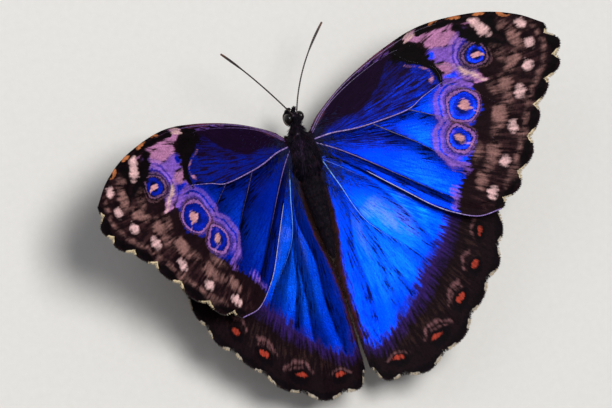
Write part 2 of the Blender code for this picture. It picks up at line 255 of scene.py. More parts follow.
# Clear chitin lenses: wet-looking, with each facet catching its own small light.
eye_mat, eye_tree, eye_shader = new_material("compound_eye_chitin")
eye_place = add(eye_tree, "TexCoord").outputs["Object"]
facets = add(eye_tree, "TexVoronoi", {"Vector": eye_place, "Scale": 1 / (FACET * MM), "Randomness": 0.25})
bands = add(eye_tree, "TexNoise", {"Vector": eye_place, "Scale": 1 / (0.9 * MM), "Detail": 1.0})
pigment_and_rim_shade = add(eye_tree, "Mix", {0: bands.outputs["Fac"], 6: linear("#070405"), 7: linear("#1e100d")},
              data_type="RGBA").outputs[2]
# painted shade: each facet darkens towards its rim, in the groove between facets
edge = add(eye_tree, "MapRange", {"Value": facets.outputs["Distance"], "From Min": 0.2, "From Max": 0.75})
pigment_and_rim_shade = add(eye_tree, "Mix", {0: edge.outputs[0], 6: pigment_and_rim_shade, 7: linear("#030203")},
              data_type="RGBA").outputs[2]
dimple = add(eye_tree, "Bump", {"Height": facets.outputs["Distance"], "Strength": 0.5,
                                "Distance": FACET_RISE * MM}, invert=True)
eye_tree.links.new(pigment_and_rim_shade, eye_shader.inputs["Base Color"])
eye_tree.links.new(dimple.outputs[0], eye_shader.inputs["Normal"])
eye_shader.inputs["Roughness"].default_value = 0.24
eye_shader.inputs["IOR"].default_value = 1.5
eye_shader.inputs["Specular IOR Level"].default_value = 0.26
eye_shader.inputs["Coat Weight"].default_value = 0.16
eye_shader.inputs["Coat Roughness"].default_value = 0.1
for side in SIDES:
    build_eye(side)


# ---- antennae --------------------------------------------------------------------------------
# Two long feelers of dark jointed cuticle, each a string of some fifty short rings that thickens
# into a slender club near the tip. They sit in sockets on top of the head.
ANTENNA_BASE = (0.45, 6.3, 0.5)
ANTENNA_TIPS = {"left": (-16.4, 22.9, 8.0), "right": (12.4, 24.7, 2.2)}
ANTENNA_BOWS = {"left": (-0.4, 1.8, 0.9), "right": (-3.4, 0.4, 0.6)}
ANTENNA_WIRE, ANTENNA_CLUB = 0.17, 0.3
CLUB_START = 0.7
JOINT_LENGTH = 0.5
JOINT_RINGS = 5
ANTENNA_SIDES = 10
SOCKET_DEPTH = 0.5         # how far the feeler's base is sunk in the head


def tube(path, radii, sides):
    """Rings of points about a path, each square to it, and the faces that join and close them."""
    path = np.asarray(path, float)
    ahead = np.gradient(path, axis=0)
    ahead /= np.linalg.norm(ahead, axis=1, keepdims=True)
    guide = np.cross(ahead[0], (0.3, 0.2, 1.0))
    across = []
    for way in ahead:
        guide = guide - way * (guide @ way)
        guide = guide / np.linalg.norm(guide)
        across.append(guide)
    across = np.array(across)
    beside = np.cross(ahead, across)
    turn = np.linspace(0, math.tau, sides, endpoint=False)
    ring = np.cos(turn)[None, :, None] * across[:, None] + np.sin(turn)[None, :, None] * beside[:, None]
    points = (path[:, None] + ring * np.asarray(radii, float)[:, None, None]).reshape(-1, 3)
    faces = [(k * sides + j, k * sides + (j + 1) % sides, (k + 1) * sides + (j + 1) % sides,
              (k + 1) * sides + j) for k in range(len(path) - 1) for j in range(sides)]
    last = (len(path) - 1) * sides
    return points, faces + [tuple(range(sides))[::-1], tuple(range(last, last + sides))]


def joined(shapes):
    """Several closed shapes as one list of points and one of faces."""
    points, faces, start = [], [], 0
    for spots, sheets in shapes:
        points.append(np.asarray(spots, float))
        faces += [tuple(start + k for k in sheet) for sheet in sheets]
        start += len(spots)
    return np.concatenate(points), faces


def set_measure(obj, name, values):
    """Store one number at each point of a piece for its material to read."""
    obj.data.attributes.new(name, "FLOAT", "POINT").data.foreach_set("value",
                                                                     np.asarray(values, np.float32))


def build_antenna(side):
    """Joints strung along the feeler's bend, each one swelling towards its far end."""
    base = np.array(ANTENNA_BASE) * (SIDES[side], 1, 1)
    tip = np.array(ANTENNA_TIPS[side])
    middle = (base + tip) / 2 + np.array(ANTENNA_BOWS[side])
    base = base + (base - middle) / np.linalg.norm(base - middle) * SOCKET_DEPTH
    joints = int(math.dist(base, tip) / JOINT_LENGTH)
    f = np.linspace(0, 1, joints * JOINT_RINGS + 1)
    path = (base * ((1 - f) ** 2)[:, None] + middle * (2 * f * (1 - f))[:, None] + tip * (f ** 2)[:, None])
    within = (f * joints) % 1
    swell = np.sin(np.pi * np.clip((f - CLUB_START) / (1.04 - CLUB_START), 0, 1)) ** 0.8
    radii = (ANTENNA_WIRE + (ANTENNA_CLUB - ANTENNA_WIRE) * swell) * (0.84 + 0.16 * np.sin(np.pi * within))
    radii[0], radii[-1] = 0.2, 0.1
    points, faces = tube(path, radii, ANTENNA_SIDES)
    obj = new_piece("antenna_joints_" + side, from_hinges(points), faces, ["antenna_" + side],
                    [antenna_mat])
    set_measure(obj, "within", np.repeat(within, ANTENNA_SIDES))
    set_measure(obj, "reach", np.repeat(f, ANTENNA_SIDES))


# Jointed cuticle, black-brown and satin, with a paler hoop at each joint and a tan tip.
antenna_mat, antenna_tree, antenna_shader = new_material("antenna_cuticle")
within = add(antenna_tree, "Attribute", attribute_name="within").outputs["Fac"]
reach = add(antenna_tree, "Attribute", attribute_name="reach").outputs["Fac"]
hoop = add(antenna_tree, "MapRange", {"Value": within, "From Min": 0.22, "From Max": 0.05}).outputs[0]
shaft = add(antenna_tree, "MapRange", {"Value": reach, "From Min": 0.9, "From Max": 1.0, "To Max": 0.7})
shaft = add(antenna_tree, "Mix", {0: shaft.outputs[0], 6: linear("#1a100e"), 7: linear("#6e4226")},
            data_type="RGBA").outputs[2]
speck = add(antenna_tree, "TexNoise", {"Vector": add(antenna_tree, "TexCoord").outputs["Object"],
                                       "Scale": 1 / (0.12 * MM)})
hoop = add(antenna_tree, "Math", {0: hoop, 1: speck.outputs["Fac"]}, operation="MULTIPLY").outputs[0]
shaft = add(antenna_tree, "Mix", {0: hoop, 6: shaft, 7: linear("#6f5a50")}, data_type="RGBA").outputs[2]
pores = add(antenna_tree, "Bump", {"Height": speck.outputs["Fac"], "Strength": 0.3, "Distance": 0.02 * MM})
antenna_tree.links.new(shaft, antenna_shader.inputs["Base Color"])
antenna_tree.links.new(pores.outputs[0], antenna_shader.inputs["Normal"])
antenna_shader.inputs["Roughness"].default_value = 0.45
for side in SIDES:
    build_antenna(side)


# ---- tongue ----------------------------------------------------------------------------------
# A hollow tube of amber-brown cuticle made of two gutters zipped together, ribbed like a hose and
# rolled up like a watch spring under the head when the butterfly isn't feeding.
TONGUE_ROOT = [(0.0, 5.0, -1.8), (0.0, 5.0, -3.0)]
TONGUE_CENTRE = (0.0, 6.45, -4.6)
TONGUE_OUTER, TONGUE_PITCH, TONGUE_TURNS = 1.45, 0.62, 1.75
TONGUE_WIRE = 0.21
TONGUE_SIDES = 10
RIB_LENGTH = 0.16

spiral = np.linspace(0, TONGUE_TURNS, 150)
reel = TONGUE_OUTER - TONGUE_PITCH * spiral
swing = math.pi + math.tau * spiral
coil = np.stack([0 * swing, TONGUE_CENTRE[1] + reel * np.cos(swing),
                 TONGUE_CENTRE[2] + reel * np.sin(swing)], 1)
drop = (np.array(TONGUE_ROOT[0])
        + (np.array(TONGUE_ROOT[1]) - TONGUE_ROOT[0]) * np.linspace(0, 1, 14)[:, None])
tongue_path = np.vstack([drop, coil])
travel = np.concatenate([[0], np.cumsum(np.linalg.norm(np.diff(tongue_path, axis=0), axis=1))])
rib = np.abs(np.sin(np.pi * travel / RIB_LENGTH))
taper = np.interp(travel, [0, travel[-1] * 0.8, travel[-1]], [1.1, 0.85, 0.45])
tongue_points, tongue_faces = tube(tongue_path, TONGUE_WIRE * taper * (0.9 + 0.1 * rib),
                                    TONGUE_SIDES)

# Ribbed cuticle: amber and slightly clear.
tongue_mat, tongue_tree, tongue_shader = new_material("tongue_cuticle")
tongue_rib = add(tongue_tree, "Attribute", attribute_name="rib").outputs["Fac"]
amber = add(tongue_tree, "Mix", {0: tongue_rib, 6: linear("#2c1710"), 7: linear("#74452a")},
            data_type="RGBA").outputs[2]
tongue_tree.links.new(amber, tongue_shader.inputs["Base Color"])
tongue_shader.inputs["Roughness"].default_value = 0.35
tongue_shader.inputs["IOR"].default_value = 1.54
tongue = new_piece("tongue_coil", from_hinges(tongue_points), tongue_faces, ["tongue"],
                   [tongue_mat])
set_measure(tongue, "rib", np.repeat(rib, TONGUE_SIDES))


# ---- legs ------------------------------------------------------------------------------------
# Four walking legs and two small brush legs folded on the chest, all of brown cuticle: hip, thigh,
# shin and a foot of five joints with spines, a pad and two claws. The feet lie on the floor.
MID_LEG = [(1.3, -0.4, -4.2), (2.2, 0.2, -6.5), (8.0, 2.0, -5.2), (11.4, 2.6, -12.3), (14.6, 5.4, -13.3)]
HIND_LEG = [(1.3, -4.2, -4.0), (2.2, -4.9, -6.2), (6.6, -10.6, -5.6), (9.0, -15.6, -12.3),
            (11.2, -22.2, -13.3)]
FORELEG = [(0.9, 1.2, -3.3), (1.0, 1.6, -4.9), (1.25, 2.7, -5.1), (1.1, 1.7, -5.9), (1.0, 0.7, -6.2)]
LANDING = 0.4              # part of the foot that comes down before it lies along the floor
FOOT_WIDE = 0.2
FOOT_JOINTS = 5
# width along each part of a leg, from its near end to its far end
HIP_WIDTHS = [0.6, 0.78, 0.74, 0.55, 0.4]
THIGH_WIDTHS = [0.3, 0.5, 0.62, 0.6, 0.48, 0.34]
SHIN_WIDTHS = [0.27, 0.36, 0.38, 0.36, 0.35, 0.4]
FOOT_WIDTHS = [0.15, 0.17, 0.18, 0.19, 0.14]
THIGH_BOW, SHIN_BOW = 0.35, 0.12
LIMB_SIDES = 12


def limb_part(start, end, widths, bow=0.0, scale=1.0):
    """One part of a leg: a tapering tube between two joints, bowed upwards a little."""
    f = np.linspace(0, 1, 4 * len(widths))
    path = np.array(start) + (np.array(end) - start) * f[:, None]
    path[:, 2] += bow * np.sin(np.pi * f)
    radii = np.interp(f, np.linspace(0, 1, len(widths)), widths) * scale
    radii[0] *= 0.5
    radii[-1] *= 0.5
    return tube(path, radii, LIMB_SIDES)


def spines(start, end, widths, dice, length, per_mm, lean=0.75, bow=0.0, scale=1.0):
    """Short sharp bristles rooted all round a part of a leg and leaning towards its far end."""
    start, end = np.array(start, float), np.array(end, float)
    span = np.linalg.norm(end - start)
    way = (end - start) / span
    shapes = []
    for _ in range(int(span * per_mm)):
        f = dice.uniform(0.06, 0.94)
        out = np.cross(way, dice.normal(size=3))
        out /= np.linalg.norm(out)
        girth = np.interp(f, np.linspace(0, 1, len(widths)), widths) * scale
        root = start + (end - start) * f + out * girth * 0.8
        root[2] += bow * math.sin(math.pi * f)
        tip = root + (way * lean + out * (1 - lean)) * length * dice.uniform(0.6, 1.2)
        tip[2] = max(tip[2], 0.06 - FLOOR_TO_HINGES)
        shapes.append(tube([root, (root + tip) / 2, tip], [0.045, 0.03, 0.006], 3))
    return shapes


def foot_route(ankle, toe):
    """Where the foot's joints are: down from the ankle, then along the floor to the toe."""
    lying = FOOT_WIDE - FLOOR_TO_HINGES
    landing = ankle + (toe - ankle) * LANDING
    landing[2] = lying
    toe = np.array([toe[0], toe[1], lying])
    reach = np.linspace(0, 1, FOOT_JOINTS + 1)
    return [ankle + (landing - ankle) * r / LANDING if r < LANDING
            else landing + (toe - landing) * (r - LANDING) / (1 - LANDING) for r in reach]


def build_leg(kind, side, joints):
    """A walking leg with all its parts joined in one mesh, spines and claws included."""
    sign = SIDES[side]
    hip, gather, knee, ankle, toe = [np.array([sign * x, y, z]) for x, y, z in joints]
    dice = np.random.default_rng(len(kind) + sign + 3)
    shapes = [limb_part(hip, gather, HIP_WIDTHS), limb_part(gather, knee, THIGH_WIDTHS, THIGH_BOW),
              limb_part(knee, ankle, SHIN_WIDTHS, SHIN_BOW)]
    route = foot_route(ankle, toe)
    for near, far in zip(route, route[1:]):
        shapes.append(limb_part(near, far, FOOT_WIDTHS))
        shapes += spines(near, far, FOOT_WIDTHS, dice, 0.35, 6.0)
    shapes += spines(gather, knee, THIGH_WIDTHS, dice, 0.6, 9.0, 0.82, THIGH_BOW)
    shapes += spines(knee, ankle, SHIN_WIDTHS, dice, 0.6, 7.0, 0.78, SHIN_BOW)
    way = (route[-1] - route[-2]) / np.linalg.norm(route[-1] - route[-2])
    beside = np.cross(way, (0, 0, 1.0))
    for turn in (-1, 1):
        spur = ankle + beside * turn * 0.35 + (ankle - knee) / np.linalg.norm(ankle - knee) * 0.75
        shapes.append(tube([ankle, (ankle + spur) / 2, spur], [0.16, 0.1, 0.012], 6))
        bend = route[-1] + way * 0.35 + beside * turn * 0.2 + (0, 0, 0.16)
        claw = route[-1] + way * 0.7 + beside * turn * 0.3 + (0, 0, -0.12)
        shapes.append(tube([route[-1], bend, claw], [0.11, 0.07, 0.01], 6))
    pad = route[-1] + way * 0.3 + np.array([0, 0, -0.08])
    shapes.append(tube([route[-1], pad], [0.13, 0.1], 8))
    points, faces = joined(shapes)
    return new_piece("leg_cuticle_" + kind + "_" + side, from_hinges(points), faces,
                     ["leg_" + kind + "_" + side], [leg_mat])


def build_brush_leg(side):
    """A short foreleg folded under the chest, its outer half a brush of fine bristles."""
    sign = SIDES[side]
    hip, gather, knee, ankle, toe = [np.array([sign * x, y, z]) for x, y, z in FORELEG]
    dice = np.random.default_rng(11 + sign)
    parts = [(hip, gather, HIP_WIDTHS, 0.5), (gather, knee, THIGH_WIDTHS, 0.62),
             (knee, ankle, SHIN_WIDTHS, 0.85), (ankle, toe, SHIN_WIDTHS, 0.75)]
    shapes = [limb_part(near, far, widths, scale=scale) for near, far, widths, scale in parts]
    for near, far, widths, scale in parts[1:]:
        shapes += spines(near, far, widths, dice, 0.55, 40.0, 0.82, scale=scale)
    points, faces = joined(shapes)
    return new_piece("brush_leg_" + side, from_hinges(points), faces, ["leg_fore_" + side],
                     [brush_mat])


# Bristles of the brush legs: brown-black and matt like the hair of the chest.
brush_mat, brush_tree, brush_shader = new_material("brush_leg_bristles")
brush_noise = add(brush_tree, "TexNoise", {"Vector": add(brush_tree, "TexCoord").outputs["Object"],
                                           "Scale": 1 / (0.3 * MM), "Detail": 3.0})
bristle = add(brush_tree, "Mix", {0: brush_noise.outputs["Fac"], 6: linear("#070405"), 7: linear("#2c1c16")},
              data_type="RGBA").outputs[2]
brush_tree.links.new(bristle, brush_shader.inputs["Base Color"])
brush_shader.inputs["Roughness"].default_value = 0.65
brush_shader.inputs["Specular IOR Level"].default_value = 0.1

# Cuticle under flat scales: brown and satin, mottled darker, tan on the foot.
leg_mat, leg_tree, leg_shader = new_material("leg_cuticle")
leg_place = add(leg_tree, "TexCoord").outputs["Object"]
mottle = add(leg_tree, "TexNoise", {"Vector": leg_place, "Scale": 1 / (0.7 * MM), "Detail": 3.0})
leg_scales = add(leg_tree, "TexVoronoi", {"Vector": leg_place, "Scale": 1 / (0.14 * MM)})
leg_brown = add(leg_tree, "Mix", {0: mottle.outputs["Fac"], 6: linear("#120b0a"), 7: linear("#3c261c")},
                data_type="RGBA").outputs[2]
leg_height = add(leg_tree, "SeparateXYZ", {"Vector": leg_place}).outputs["Z"]
low = add(leg_tree, "MapRange", {"Value": leg_height, "From Min": 3.0 * MM, "From Max": 0.4 * MM,
                                 "To Max": 0.6}).outputs[0]
leg_brown = add(leg_tree, "Mix", {0: low, 6: leg_brown, 7: linear("#5e4430")}, data_type="RGBA").outputs[2]
leg_bump = add(leg_tree, "Bump", {"Height": leg_scales.outputs["Distance"], "Strength": 0.5,
                                  "Distance": 0.03 * MM}, invert=True)
leg_tree.links.new(leg_brown, leg_shader.inputs["Base Color"])
leg_tree.links.new(leg_bump.outputs[0], leg_shader.inputs["Normal"])
leg_shader.inputs["Roughness"].default_value = 0.5
leg_shader.inputs["Specular IOR Level"].default_value = 0.25
for side in SIDES:
    build_leg("mid", side, MID_LEG)
    build_leg("hind", side, HIND_LEG)
    build_brush_leg(side)


# ---- wings: shared by the forewings and hindwings --------------------------------------------
# A morpho's wing is two films of clear chitin no thicker than paper, stretched over hollow veins
# and shingled with rows of scales. Every scale is one colour, so where two colours meet the edge
# is ragged, a few scales wide. Each wing is drawn flat, u outwards and v forwards from its hinge.
SCALE_WIDE = 0.2        # a real scale is half of this, drawn coarse enough to show
SCALE_LONG = 0.28
SCALE_RISE = 0.05
ROW_RADIUS = 26         # the rows of scales are measured along an arc of this radius
STREAK_WIDE = 0.5       # scales of one brood run out from the hinge in streaks
STREAK_LONG = 4.0
MEMBRANE = 0.16
VEIN_SIDES = 8
VEIN_STEP = 0.45
# the fold layer is painted shade: dark scales where the fold behind each vein and the crease before it lie
# in shade
SHADE_REACH = 2.6       # how far the fold behind a vein darkens the scales
WING_STEPS = (196, 200) # spans of the mesh across a wing, then out along it


def hermite(points, index, f):
    """Points on the smooth curve through points, a fraction f past the one at index."""
    pts = np.asarray(points, float)
    pts = np.vstack([2 * pts[0] - pts[1], pts, 2 * pts[-1] - pts[-2]])
    before, start, end, after = (pts[index + k] for k in range(4))
    f = np.asarray(f)[..., None]
    return (start * (2 * f ** 3 - 3 * f ** 2 + 1) + (end - before) / 2 * (f ** 3 - 2 * f ** 2 + f)
            + end * (3 * f ** 2 - 2 * f ** 3) + (after - start) / 2 * (f ** 3 - f ** 2))


def along(points, fraction):
    """Points on the smooth curve through points, at fractions of its length."""
    reach = np.cumsum([0] + [math.dist(a, b) for a, b in zip(points, points[1:])])
    distance = np.asarray(fraction, float) * reach[-1]
    index = np.clip(np.searchsorted(reach, distance, side="right") - 1, 0, len(points) - 2)
    return hermite(points, index, (distance - reach[index]) / (reach[index + 1] - reach[index]))


def margin_line(wing, s, inset):
    """The outer margin: a lobe at each vein tip, a notch halfway to the next, and how far from it."""
    spans = len(wing["tips"]) - 1
    index = np.clip((s * spans + 1e-6).astype(int), 0, spans - 1)
    f = s * spans - index
    line = hermite(wing["tips"], index, f)
    hollow = 1 - np.abs(np.cos(np.pi * f)) ** wing["sharp"]
    depth = wing["scallop"] * hollow + inset * (wing["fringe"][0] + wing["fringe"][1] * hollow)
    line = line - line / np.linalg.norm(line, axis=-1, keepdims=True) * depth[..., None]
    return line, hollow, np.abs(f - 0.5)


def wing_plan(wing, s, t, inset=1.0):
    """Blend the four edges; s runs from the costa to the inner margin, t from root to margin."""
    costa, inner = np.array(wing["costa"]), np.array(wing["inner"])
    a, b = s[..., None], t[..., None]
    margin = margin_line(wing, s, inset)[0]
    sides = along(wing["costa"], t) * (1 - a) + along(wing["inner"], t) * a
    ends = (costa[0] * (1 - a) + inner[0] * a) * (1 - b) + margin * b
    near, far = costa[0] * (1 - a) + inner[0] * a, costa[-1] * (1 - a) + inner[-1] * a
    return sides + ends - near * (1 - b) - far * b


def to_line(spots, points, steps=14):
    """Distance in mm from spots to a smooth line, the place along it, and 1 ahead of it, -1 behind."""
    path = along(points, np.linspace(0, 1, steps * (len(points) - 1) + 1))
    best = np.full(len(spots), 1e9)
    where, ahead = np.zeros(len(spots)), np.zeros(len(spots))
    for k, (a, b) in enumerate(zip(path, path[1:])):
        f = np.clip((spots - a) @ (b - a) / ((b - a) @ (b - a)), 0, 1)
        off = spots - a - f[:, None] * (b - a)
        gap = np.linalg.norm(off, axis=1)
        nearer = gap < best
        best[nearer] = gap[nearer]
        where[nearer] = (k + f[nearer]) / (len(path) - 1)
        ahead[nearer] = np.sign((b[0] - a[0]) * off[nearer, 1] - (b[1] - a[1]) * off[nearer, 0])
    return best, where, ahead


def inside(spots, corners):
    """Distance in mm into a rounded patch, negative outside it."""
    loop = list(corners) + [corners[0]]
    gap = to_line(spots, loop, steps=4)[0]
    path = along(loop, np.linspace(0, 1, 4 * len(corners) + 1))
    x, y = spots.T
    odd = np.zeros(len(spots), bool)
    for a, b in zip(path, path[1:]):
        if a[1] != b[1]:
            odd ^= ((a[1] > y) != (b[1] > y)) & (x < (b[0] - a[0]) * (y - a[1]) / (b[1] - a[1]) + a[0])
    return np.where(odd, gap, -gap)


def waver(spots, amount, size):
    """The spots moved about a little, so that marks drawn at them come out as uneven as in life."""
    dice = np.random.default_rng(5)
    moved = np.array(spots, float)
    for _ in range(7):
        heading = dice.uniform(0, math.tau)
        wave = math.tau / (size * dice.uniform(0.6, 1.8))
        phase = (spots[:, 0] * math.cos(heading) + spots[:, 1] * math.sin(heading)) * wave
        swing = dice.uniform(-1, 1, 2) * amount
        moved += np.sin(phase + dice.uniform(0, math.tau))[:, None] * swing
    return moved


def cover(spots, marks):
    """How fully marks of one colour cover each spot, 0 to 1, where 0.5 is a mark's own edge.

    A mark is its kind, its place, its size where it isn't a patch, then the width of its soft edge
    and its fullest cover.
    """
    total = np.zeros(len(spots))
    spots = waver(spots, 0.1, 3.6)
    for kind, place, *rest in marks:
        if kind == "patch":
            depth = inside(spots, place)
        elif kind == "line":
            gap, where, _ = to_line(spots, place)
            wide, narrow = rest.pop(0)
            depth = (wide + (narrow - wide) * where) / 2 - gap
        else:
            length, width, lean = rest.pop(0)
            turned = spots - np.array(place)
            c, s = math.cos(math.radians(lean)), math.sin(math.radians(lean))
            along_it = (turned[:, 0] * c + turned[:, 1] * s) / length
            across = (turned[:, 1] * c - turned[:, 0] * s) / width
            depth = (1 - np.hypot(along_it, across)) * min(length, width)
        soft, most = (rest + [0.5, 1.0][len(rest):])[:2]
        total = np.maximum(total, np.clip(depth / soft + 0.5, 0, 1) * most)
    return total


def fold_shade(wing):
    """How deep the painted shade is in the fold close behind each vein, and a hair's breadth ahead of it."""
    plan = wing["sheet"][0]
    shade = np.zeros(len(plan))
    for name, (points, _, _) in wing["veins"].items():
        gap, where, ahead = to_line(plan, points)
        behind = np.exp(-gap / SHADE_REACH) * np.clip(where * 8, 0.3, 1) * np.clip((1 - where) * 4, 0, 1)
        before = 0.85 * np.exp(-(gap / 0.38) ** 2)
        if name in wing["flat_veins"]:
            behind = behind * 0.25
        shade = np.maximum(shade, np.where(ahead < 0, behind, before))
    return shade * np.clip(wing["upper"]["blue"] * 1.6, 0, 1)


def notch_edge(wing, wide, gap):
    """How near each spot is to the pale edging of the notches, which may have a dark middle."""
    _, s, t, _, _ = wing["sheet"]
    from_notch = margin_line(wing, s, 1.0)[2]
    within = np.clip((wide - from_notch) / 0.06 + 0.5, 0, 1) * np.clip((from_notch - gap) / 0.04 + 0.5, 0, 1)
    return within * np.clip((t - 0.989) / 0.006, 0, 1)


def scale_shingle(tree, strength):
    """Rows of overlapping scales: each scale's own chance and shade, the streaks and the bump."""
    rows = add(tree, "UVMap", uv_map="scale_rows").outputs[0]
    cells = add(tree, "VectorMath", {0: rows, 1: (1 / SCALE_WIDE, 1 / SCALE_LONG, 1.0)},
                operation="MULTIPLY").outputs[0]
    tile = add(tree, "TexVoronoi", {"Vector": cells, "Scale": 1.0, "Randomness": 0.7},
               voronoi_dimensions="2D")
    each = add(tree, "SeparateColor", {"Color": tile.outputs["Color"]})
    drawn = add(tree, "VectorMath", {0: rows, 1: (1 / STREAK_WIDE, 1 / STREAK_LONG, 1.0)},
                operation="MULTIPLY").outputs[0]
    streak = add(tree, "TexNoise", {"Vector": drawn, "Scale": 1.0, "Detail": 2.0},
                 noise_dimensions="2D").outputs["Fac"]
    bump = add(tree, "Bump", {"Height": tile.outputs["Distance"], "Strength": strength,
                              "Distance": SCALE_RISE * MM}, invert=True).outputs[0]
    return each.outputs["Red"], each.outputs["Green"], streak, bump


def eyespot(tree, chance, under, gloss, centre, outer, bands, facing=None):
    """Rings of scales about a centre. A band is its outer radius, its colour and how full it is.

    With facing, a direction in degrees, the rings fade to nothing on the far side.
    """
    plan = add(tree, "UVMap", uv_map="wing_plan").outputs[0]
    off = add(tree, "VectorMath", {0: plan, 1: (*centre, 0.0)}, operation="SUBTRACT").outputs[0]
    reach = add(tree, "VectorMath", {0: off}, operation="LENGTH").outputs["Value"]
    sway = add(tree, "TexNoise", {"Vector": plan, "Scale": 0.3, "Detail": 0.0},
               noise_dimensions="2D").outputs["Fac"]
    sway = add(tree, "MapRange", {"Value": sway, "To Min": -0.6, "To Max": 0.6}).outputs[0]
    reach = add(tree, "Math", {0: reach, 1: sway}, operation="ADD").outputs[0]
    loose = add(tree, "MapRange", {"Value": chance, "To Min": -0.16, "To Max": 0.16}).outputs[0]
    reach = add(tree, "Math", {0: reach, 1: loose}, operation="ADD").outputs[0]
    reach = add(tree, "Math", {0: reach, 1: outer}, operation="DIVIDE").outputs[0]
    ramp = add(tree, "ValToRGB", {"Fac": reach})
    stops = ramp.color_ramp.elements
    stops[0].color = (*linear(bands[0][1])[:3], bands[0][2])
    stops[1].position, stops[1].color = 1.0, (*linear(bands[-1][1])[:3], 0.0)
    for (radius, tint, full), (_, next_tint, next_full) in zip(bands, bands[1:]):
        for place, shown, part in ((radius - 0.12, tint, full), (radius + 0.12, next_tint, next_full)):
            stops.new(min(place / outer, 0.99)).color = (*linear(shown)[:3], part)
    part = ramp.outputs["Alpha"]
    if facing is not None:
        way = (math.cos(math.radians(facing)), math.sin(math.radians(facing)), 0.0)
        heading = add(tree, "VectorMath", {0: off}, operation="NORMALIZE").outputs[0]
        toward = add(tree, "VectorMath", {0: heading, 1: way}, operation="DOT_PRODUCT").outputs["Value"]
        seen = add(tree, "MapRange", {"Value": toward, "From Min": 0.0, "From Max": 0.5}).outputs[0]
        part = add(tree, "Math", {0: part, 1: seen}, operation="MULTIPLY").outputs[0]
    colour = add(tree, "Mix", {0: part, 6: under, 7: ramp.outputs["Color"]}, data_type="RGBA").outputs[2]
    keep = add(tree, "Math", {0: 1.0, 1: part}, operation="SUBTRACT").outputs[0]
    return colour, add(tree, "Math", {0: gloss, 1: keep}, operation="MULTIPLY").outputs[0]


def layered_scales(name, ground, layers, shine):
    """A wing surface: scales of each layer's colour lie over those of the layers before it.

    A layer is a stored measure, its colour and how gradual its edge is, or a list of eyespots.
    """
    mat, tree, shader = new_material(name)
    chance, shade, streak, bump = scale_shingle(tree, 0.5)
    stray = add(tree, "Math", {0: streak, 1: 9.0, 2: chance}, operation="MULTIPLY_ADD").outputs[0]
    stray = add(tree, "Math", {0: stray, 1: 5.0}, operation="SUBTRACT").outputs[0]
    colour, gloss = linear(ground), 0.0
    for layer, tint, *gradual in layers:
        if isinstance(tint, list):
            for spot in tint:
                colour, gloss = eyespot(tree, chance, colour, gloss, *spot)
            continue
        field = add(tree, "Attribute", attribute_name=layer).outputs["Fac"]
        whole = add(tree, "Math", {0: field, 1: field}, operation="MULTIPLY").outputs[0]
        mixed = add(tree, "Math", {0: field, 1: whole}, operation="SUBTRACT").outputs[0]
        mixed = add(tree, "Math", {0: mixed, 1: stray, 2: field}, operation="MULTIPLY_ADD").outputs[0]
        blur = (gradual or [0.44])[0] / 2
        part = add(tree, "MapRange", {"Value": mixed, "From Min": 0.5 - blur,
                                      "From Max": 0.5 + blur}).outputs[0]
        colour = add(tree, "Mix", {0: part, 6: colour, 7: linear(tint)}, data_type="RGBA").outputs[2]
        gloss = add(tree, "Mix", {0: part, 2: gloss, 3: float(layer in shine)}).outputs[0]
    light = add(tree, "Math", {0: shade, 1: 0.4, 2: streak}, operation="MULTIPLY_ADD").outputs[0]
    light = add(tree, "MapRange", {"Value": light, "From Min": 0.35, "From Max": 1.05,
                                   "To Min": 0.6, "To Max": 1.4}).outputs[0]
    colour = add(tree, "VectorMath", {0: colour, "Scale": light}, operation="SCALE").outputs[0]
    tree.links.new(colour, shader.inputs["Base Color"])
    tree.links.new(bump, shader.inputs["Normal"])
    metal = add(tree, "Math", {0: gloss, 1: 0.9}, operation="MULTIPLY").outputs[0]
    tree.links.new(metal, shader.inputs["Metallic"])
    dull = add(tree, "MapRange", {"Value": gloss, "To Min": 0.6, "To Max": 0.4}).outputs[0]
    tree.links.new(dull, shader.inputs["Roughness"])
    shader.inputs["Specular IOR Level"].default_value = 0.03
    return mat


def wing_sheet(wing):
    """The flat plan of a wing, row by row, and the height of its crowned, pleated middle."""
    s, t = np.meshgrid(np.linspace(0, 1, WING_STEPS[0] + 1), np.linspace(0, 1, WING_STEPS[1] + 1))
    s, t = s.ravel(), t.ravel()
    plan = wing_plan(wing, s, t)
    to_vein = np.full(len(plan), 1e9)
    for points, _, _ in wing["veins"].values():
        to_vein = np.minimum(to_vein, to_line(plan, points)[0])
    rise = wing["camber"] * np.sin(np.pi * t) * np.sin(np.pi * s)
    pleat = wing["pleat"] * (np.exp(-(to_vein / wing["pleat_wide"]) ** 2) - 1)
    swell = np.sin(plan[:, 0] * 0.9 + plan[:, 1] * 0.55) * np.sin(plan[:, 1] * 0.8 - plan[:, 0] * 0.35)
    return plan, s, t, rise + pleat + 0.035 * swell * t, to_vein


def spread(wing, side, points):
    """Points of the flat wing carried to where it stands spread, in mm from the hinge centre."""
    sign = SIDES[side]
    tilt = (Matrix.Rotation(sign * math.radians(wing["sweep"][side]), 4, "Z")
            @ Matrix.Rotation(-sign * math.radians(wing["rise"]), 4, "Y"))
    root = np.array([sign * wing["hinge"][0], wing["hinge"][1], wing["hinge"][2]])
    return np.asarray(points) @ np.array(tilt.to_3x3()).T + root


